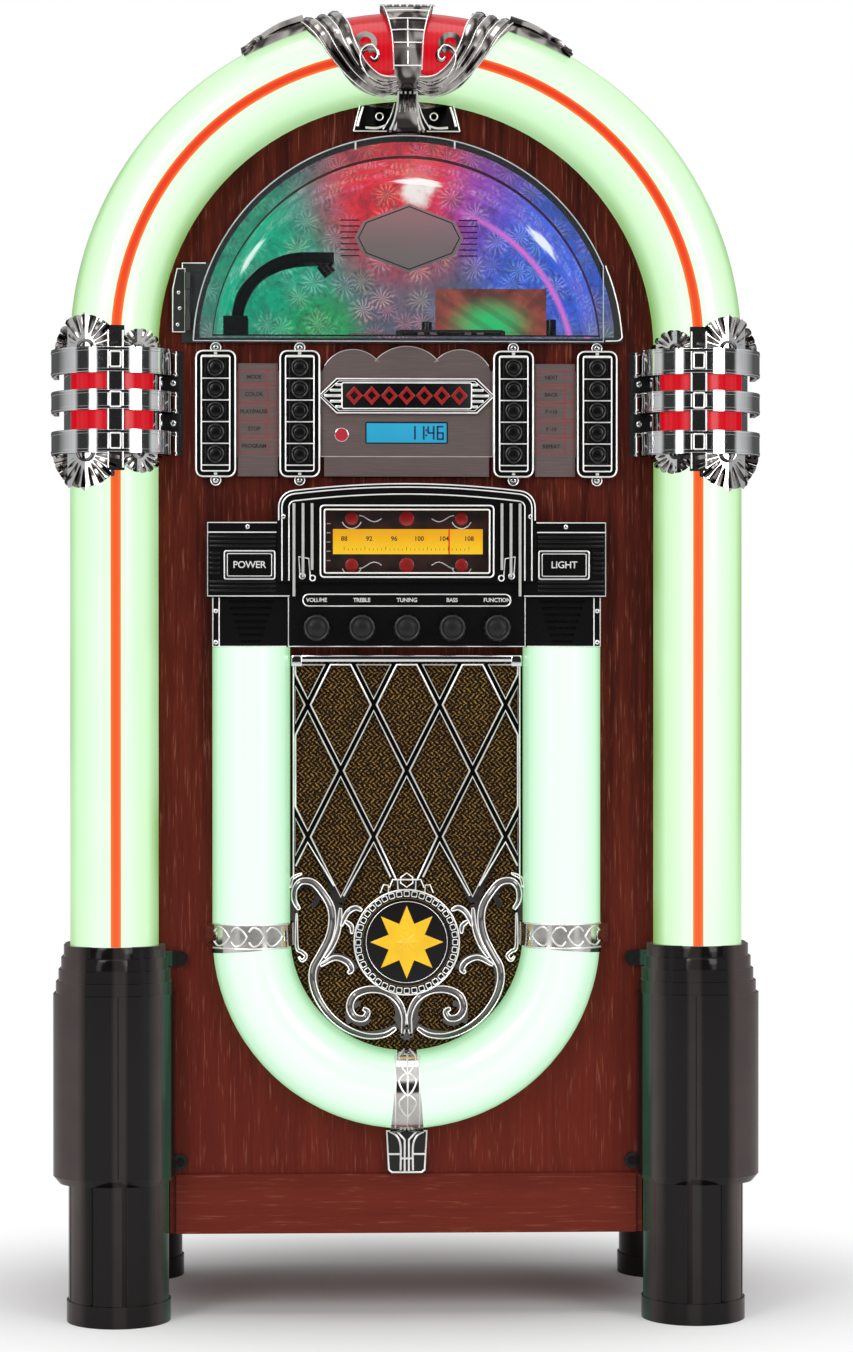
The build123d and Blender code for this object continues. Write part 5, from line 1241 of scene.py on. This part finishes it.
def clamps():
    """Bands, fans, ribs, screws and flange faces of the two clamps."""
    bands = [band(z, height) for z, height in CLAMP_BANDS]
    fans = [fan_shell(*fan) for fan in ((254.0, 773.0, 27.5, 1, 11), (211.5, 773.0, 15.5, 1, 8),
                                        (254.0, 690.0, 29.0, -1, 11), (211.5, 690.0, 16.0, -1, 8))]
    dress(both(bands), "clamp_bands", CHROME)
    dress(both(fans), "clamp_fans", DARK_CHROME)
    ribs = [(over_clamp([(x, 678.0), (x, 786.0)], -0.5), False) for x in (224.0, 235.6)]
    for z, _ in CLAMP_BANDS:
        ribs.append((over_clamp(rounded((225.6, 234.0), (z - 6.0, z + 6.0), 0.8, 1), 0.2), True))
    trim("clamp_rib_edges", mirrored(ribs), 0.7)
    screws("clamp_screws", 2.6, [(x, z, -100.0) for x in (-186.5, 186.5) for z in (748.0, 716.0)])
    flange = [slab((181.0, 197.0), ends, -100.3, -99.4, 0.3) for ends in ((740.4, 752.6), (708.8, 723.2))]
    dress(both(flange), "clamp_flange_faces", MATTE_BLACK)


# Crown

WING_OUTER = ((7.0, 978.5), (19.0, 973.5), (32.6, 976.5), (47.7, 987.0), (61.0, 1002.0), (72.7, 1020.0),
              (84.0, 1033.0))
WING_INNER = ((9.0, 987.0), (16.0, 987.0), (24.0, 989.5), (34.0, 999.0), (42.0, 1015.0), (47.0, 1030.0),
              (56.0, 1043.5))
VOLUTE = ((5.2, 978.4), (20.1, 979.2), (32.2, 985.2), (37.7, 994.5), (38.7, 1002.9), (34.9, 1008.5),
          (29.4, 1009.8), (24.9, 1006.7), (24.0, 1002.2), (26.6, 999.6), (29.2, 1001.6))
FLANGE_Y = -103.0


def swell(t):
    return 0.6 + 0.4 * sin(pi * t)


def crown_bead(points, radius, taper, shell):
    return beads([(over_arch(smooth_path(points, 6), shell), False)], radius, 3, taper)


def crown_wing():
    """Three ridges side by side, which widen from the foot of the wing to its tips."""
    outer = smooth_path(WING_OUTER, 6)
    inner = smooth_path(WING_INNER, 6)
    last = len(outer) - 1
    widths = [sqrt((a[0] - b[0]) ** 2 + (a[1] - b[1]) ** 2) / 6 for a, b in zip(outer, inner)]

    def across(share):
        return [between(a, b, share) for a, b in zip(outer, inner)]

    ridges = []
    for share in (1 / 6, 1 / 2, 5 / 6):
        path = [over_arch([point], 42.2 - width)[0] for point, width in zip(across(share), widths)]
        ridges.append(beads([(path, False)], 1.0, 3, lambda t: 1.12 * widths[min(round(t * last), last)]))
    edges = [(over_arch(side, 41.9), False) for side in (outer, inner)]
    edges += [(over_arch(across(share), 41.2), False) for share in (1 / 3, 2 / 3)]
    return ridges, edges


def flute(x, proud):
    """Line of one flute down the column's front."""
    return smooth_path(((x * 0.8, -131.0 - proud, 976.0), (x * 0.9, -119.0 - proud, 966.0),
                        (x * 1.15, -110.5 - proud, 957.0), (x * 1.5, -106.0 - proud, 950.0)), 6), False


def crown_parts():
    """Ridged wings, volutes, shield and fluted foot."""
    parts, edges = crown_wing()
    parts.append(crown_bead(((3.0, 982.0), (14.0, 979.5), (27.0, 981.0), (37.0, 987.0)), 4.6, swell, 38.0))
    parts.append(crown_bead(((82.0, 1037.0), (100.0, 1031.0), (116.0, 1021.5), (128.0, 1013.0)), 5.4,
                            lambda t: 1.0 - 0.25 * t, 36.5))
    for k in range(4):
        x, z = 120.5 + k * 2.4, 1021.0 - k * 3.6
        parts.append(crown_bead(((x - 5.0, z + 3.0), (x + 3.0, z - 3.6)), 2.0, swell, 41.0))
    parts.append(crown_bead(VOLUTE, 4.3, lambda t: 1.0 - 0.62 * t, 38.4))
    for x, z in ((17.5, 982.4), (1.0, 980.4)):
        parts.append(crown_bead(((x - 3.5, z), (x, z + 0.8), (x + 3.5, z)), 3.4, swell, 39.4))
    half = both(parts)
    lines = [((19.5, 1048.0), (16.0, 1036.0), (12.6, 1020.0), (11.6, 1006.0), (11.0, 992.0)),
             ((11.0, 1012.8), (0.0, 1012.8)), ((10.6, 995.0), (0.0, 995.0))]
    lines += [((wide, z), (wide * 0.5, z + 0.4), (0.0, z + 0.5)) for z, wide in
              ((1023.0, 12.8), (1033.0, 15.0), (1041.0, 17.2))]
    lines += [((x - 2.6, 1046.6), (x - 1.2, 1048.6), (x + 1.2, 1048.6), (x + 2.6, 1046.6)) for x in
              (2.8, 8.4, 14.0, 19.6)]
    edges += [(over_arch(smooth_path(path, 4)), False) for path in lines]
    curl = [(x - 1.2, z + 1.0) for x, z in VOLUTE[2:7]] + list(VOLUTE[7:])
    edges.append((over_arch(smooth_path(curl, 6), 42.4), False))
    for claw in (((27.0, 975.8), (15.0, 971.5), (7.5, 974.0), (3.4, 970.5)),
                 ((7.5, 972.4), (4.0, 969.4), (0.0, 968.6))):
        edges.append((over_arch(smooth_path(claw, 4), 40.8), False))
    edges.append((over_arch([(0.0, z) for z in (1048.0, 1030.0, 1014.0, 996.0)]), False))
    columns = [beads([flute(x, 0.0)], 2.1, 3, lambda t: 1.15 - 0.35 * t) for x in (-6.6, -2.2, 2.2, 6.6)]
    shine = [line(smooth_path(path), -103.6) for path in (((39.4, 953.5), (37.8, 960.0), (35.0, 969.0)),
                                                          ((17.5, 954.0), (24.0, 952.0), (33.0, 952.4)))]
    flutes = [flute(x, 1.7) for x in (-8.8, -6.2, -1.9, 2.6, 7.0, 9.2)]
    trim("crown_highlights", flutes + mirrored(shine), 0.95)
    flange = [line(((42.5, 949.6), (36.8, 973.0)), FLANGE_Y), line(((42.5, 949.6), (16.0, 949.6)), FLANGE_Y),
              line(smooth_path(((9.5, 972.0), (13.0, 961.0), (19.0, 951.0))), FLANGE_Y - 0.2),
              loop(circle(21.7, 961.3, 2.9, 16), FLANGE_Y)]
    dress(join([half] + columns), "crown_relief", DARK_CHROME)
    trim("crown_edges", mirrored(edges + flange), 0.55)


# Dome door and disc player

def door_trim():
    """Hinge screws, chrome edges of the plates, and the marks moulded in the clear rim."""
    hinge = [(-187.0, 789.0), (-187.0, 823.0), (-183.5, 839.5), (-177.2, 839.5), (-177.2, 789.0)]
    latch = [(159.0, 781.8)] + arc(168.0, 786.6, 4.6, 270, 340, 4)
    latch += [(sqrt(172.4 ** 2 - (z - ARCH_Z) ** 2), z) for z in (793.0, 803.0, 813.0, 823.0, 833.0, 841.0)]
    lines = [loop(hinge, -100.2), line(latch + [(159.0, 842.0)], -107.9),
             line([(-179.3, 840.0), (-179.3, 844.0), (-160.5, 844.0)], -100.1)]
    trim("door_plate_edges", lines, 0.6)
    screws("hinge_screws", 1.7, ((-182.3, 820.5), (-181.4, 807.8), (-183.0, 794.8)), -100.3)
    rim = [(157.0, 841.5)] + arc(0, ARCH_Z, 170.2, 23.5, 177.8, 64) + [(-170.0, 781.2), (157.0, 781.2)]
    trim("door_rim_light", [loop(rim, -109.6)], 0.55, CLEAR_EDGE, "dome_door")
    marks = [slab((x - 0.7, x + 0.7), (z - 3.0, z + 3.0), -114.2, -113.6, 0.2) for x, z in
             ((-41.0, 936.0), (38.0, 937.0))]
    dress(join(marks), "door_marks", CLEAR_EDGE, "dome_door")


def bay_dressing():
    """Player keys, title card and bare sign."""
    keys = [slab((x - 2.6, x + 2.6), (788.6, 791.0), -82.6, -81.2, 0.4) for x in (12.0, 22.0, 50.0, 60.0)]
    dress(join(keys), "player_keys", PLATE)
    dress(slab((-8.0, 80.0), (785.8, 793.4), -82.2, -67.2, 3.0, 4), "player_bar", TRIM_BLACK)
    dress(slab((-46.0, -4.0), (786.2, 790.4), -81.0, -77.0, 0.8), "player_strip", PLATE)
    dress(plate([rounded((25.0, 116.0), (787.0, 831.0), 0.8)], -39.2, -38.0), "title_card", CARD_PAINTED_LAMPLIGHT)
    for side, x, top in (("left", 18.0, 804.0), ("right", 120.0, 806.0)):
        dress(post(x, -38.0, 4.2, 786.0, top), f"card_post_{side}", TRIM_BLACK)
    x, z = 5.7, 884.0
    right = [(0.0, 29.2), (39.0, 14.0), (46.0, 0.0), (39.0, -14.0), (0.0, -29.2)]
    sign = [(x + px, z + pz) for px, pz in right + flip(right[3:0:-1])]
    dress(plate([sign], 50.4, 51.9, 0.3), "bay_plaque", PLAQUE_PAINTED_LAMPLIGHT)
    edge = [(x + (px - x) * 0.93, z + (pz - z) * 0.91) for px, pz in sign]
    trim("bay_plaque_line", [loop(edge, 50.3)], 0.5, PRINT_DARK)
    stripes = []
    for k in range(-3, 4):
        level = z + k * 5.0
        for ends in ((x - 58.0, x - 42.0), (x + 42.0, x + 58.0)):
            stripes.append(slab(ends, (level - 0.5, level + 0.5), 51.0, 51.9))
    dress(join(stripes), "bay_plaque_stripes", PRINT_DARK)
    trim("bay_plaque_post", [([(x, 51.8, z), (x, 60.2, z)], False)], 2.0, PLATE)


def arm_dressing():
    """Pivot cap, head and curved tube of the disc arm."""
    cap = join([button(-138.0, 803.0, 5.0, -16.6, -14.8, 0.6), button(-138.0, 803.0, 2.4, -17.2, -16.4, 0.3)])
    dress(cap, "arm_pivot_cap", TRIM_BLACK, "disc_arm")
    dress(slab((-84.0, -58.5), (853.0, 863.5), -16.6, -3.4, 1.6, 3), "arm_head_cover", TRIM_BLACK, "disc_arm")
    path = smooth_path(((-137.9, 811.5), (-133.5, 828.7), (-122.8, 841.7), (-107.6, 851.3), (-90.3, 856.1),
                        (-72.0, 857.4)), 6)
    trim("arm_tube_cover", [line(path, -10.0)], 4.8, TRIM_BLACK, "disc_arm", 4)


# Sleeves and legs

def sleeve_trim():
    """The seam down each sleeve's front, and the two thin collars round the foot of the large tube."""
    seam = mirrored([line([(228.0, 118.0), (228.0, 261.0)], -142.9)])
    trim("sleeve_seams", seam, 0.45, MATTE_BLACK)
    collars = []
    for out, low, high in ((0.9, 280.6, 290.2), (0.6, 290.2, 300.0)):
        profile = [(0.1, low), (out, low), (out, high - 0.6), (out - 0.3, high), (0.1, high)]
        collars.append(spun(profile, TUBE_X, TUBE_Y, TUBE_RADIUS))
    dress(both(collars), "sleeve_collars", SLEEVE_PAINTED_HIGHLIGHTS)


for make in (key_bank_trim, key_caps, label_plates, centre_plate_trim, radio_trim, radio_labels, knob_faces,
             dial_art, grille, medallion_parts, clip_ornaments, clamps, crown_parts, door_trim, bay_dressing,
             arm_dressing, sleeve_trim):
    make()


# Camera, lamps and floor

def camera():
    data = bpy.data.cameras.new("camera")
    data.lens = 88.0
    data.sensor_width = 36.0
    data.clip_start = 0.05
    data.clip_end = 60.0
    made = bpy.data.objects.new("camera", data)
    bpy.context.scene.collection.objects.link(made)
    made.location = (-0.064, -2.747, 0.526)
    made.rotation_euler = (radians(89.74), 0, radians(-1.73))
    bpy.context.scene.camera = made


def lamp(name, place, aim, width, height, power):
    data = bpy.data.lights.new(name, "AREA")
    data.shape = "RECTANGLE"
    data.size = width
    data.size_y = height
    data.energy = power
    made = bpy.data.objects.new(name, data)
    bpy.context.scene.collection.objects.link(made)
    made.location = place
    made.rotation_euler = (Vector(aim) - Vector(place)).to_track_quat("-Z", "Y").to_euler()


def grey(level):
    return (level,) * 3


def world():
    """White behind the object, soft light all round, and a dark room with bright walls in reflections."""
    made = bpy.data.worlds.new("studio")
    bpy.context.scene.world = made
    made.use_nodes = True
    f = Finish("studio", made.node_tree)
    _, ahead, above = f.axes(f.output(f.point, "Generated"))
    walls = f.ramp(ahead * 0.5 + 0.5, *((place, grey(level)) for place, level in (
        (0.0, 0.02), (0.060, 0.02), (0.080, 2.2), (0.125, 2.2), (0.150, 0.04), (0.30, 0.04), (0.36, 0.65),
        (0.55, 0.45), (0.75, 0.10))))
    ceiling = f.mix(above.rise(0.35, 0.6), walls, grey(0.9))
    ground = f.mix((-above).rise(0.45, 0.7), ceiling, (0.30, 0.29, 0.28))
    soft = f.node("ShaderNodeBackground", inputs={0: grey(1), 1: 0.42})
    room = f.node("ShaderNodeBackground", inputs={0: ground})
    seen = f.node("ShaderNodeBackground", inputs={0: grey(1)})
    path = f.node("ShaderNodeLightPath")
    first = f.node("ShaderNodeMixShader", inputs={0: f.output(path, "Is Glossy Ray"), 1: soft, 2: room})
    f.show(f.node("ShaderNodeMixShader", inputs={0: path, 1: first, 2: seen}))


def floor():
    """Pale floor: it keeps the object's shadow and turns white away from it."""
    made = settle(add(bpy.ops.mesh.primitive_plane_add, size=14, location=(0, 2, 0)))
    made.name = "floor"
    f = Finish("pale_floor")
    x, y, _ = f.place()
    behind = y - 0.02
    far = (x * x * 0.45 + behind * behind).root().rise(0.10, 0.40)
    ground = f.shader(Base_Color=grey(0.93), Roughness=0.7, Specular_IOR_Level=0.1)
    white = f.node("ShaderNodeEmission", inputs={0: grey(1), 1: 1.0})
    path = f.node("ShaderNodeLightPath")
    blend = f.node("ShaderNodeMixShader", inputs={0: far * path, 1: ground, 2: white})
    made.data.materials.append(f.show(blend))


camera()
world()
lamp("key_lamp", (-1.5, -2.4, 2.0), (0, 0, 0.6), 1.0, 1.6, 26)
lamp("fill_lamp", (1.7, -2.2, 1.5), (0, 0, 0.5), 1.0, 1.6, 18)
lamp("top_lamp", (0, -0.4, 2.6), (0, 0, 0.5), 1.6, 1.0, 14)
floor()
bpy.context.scene.view_settings.view_transform = "Standard"
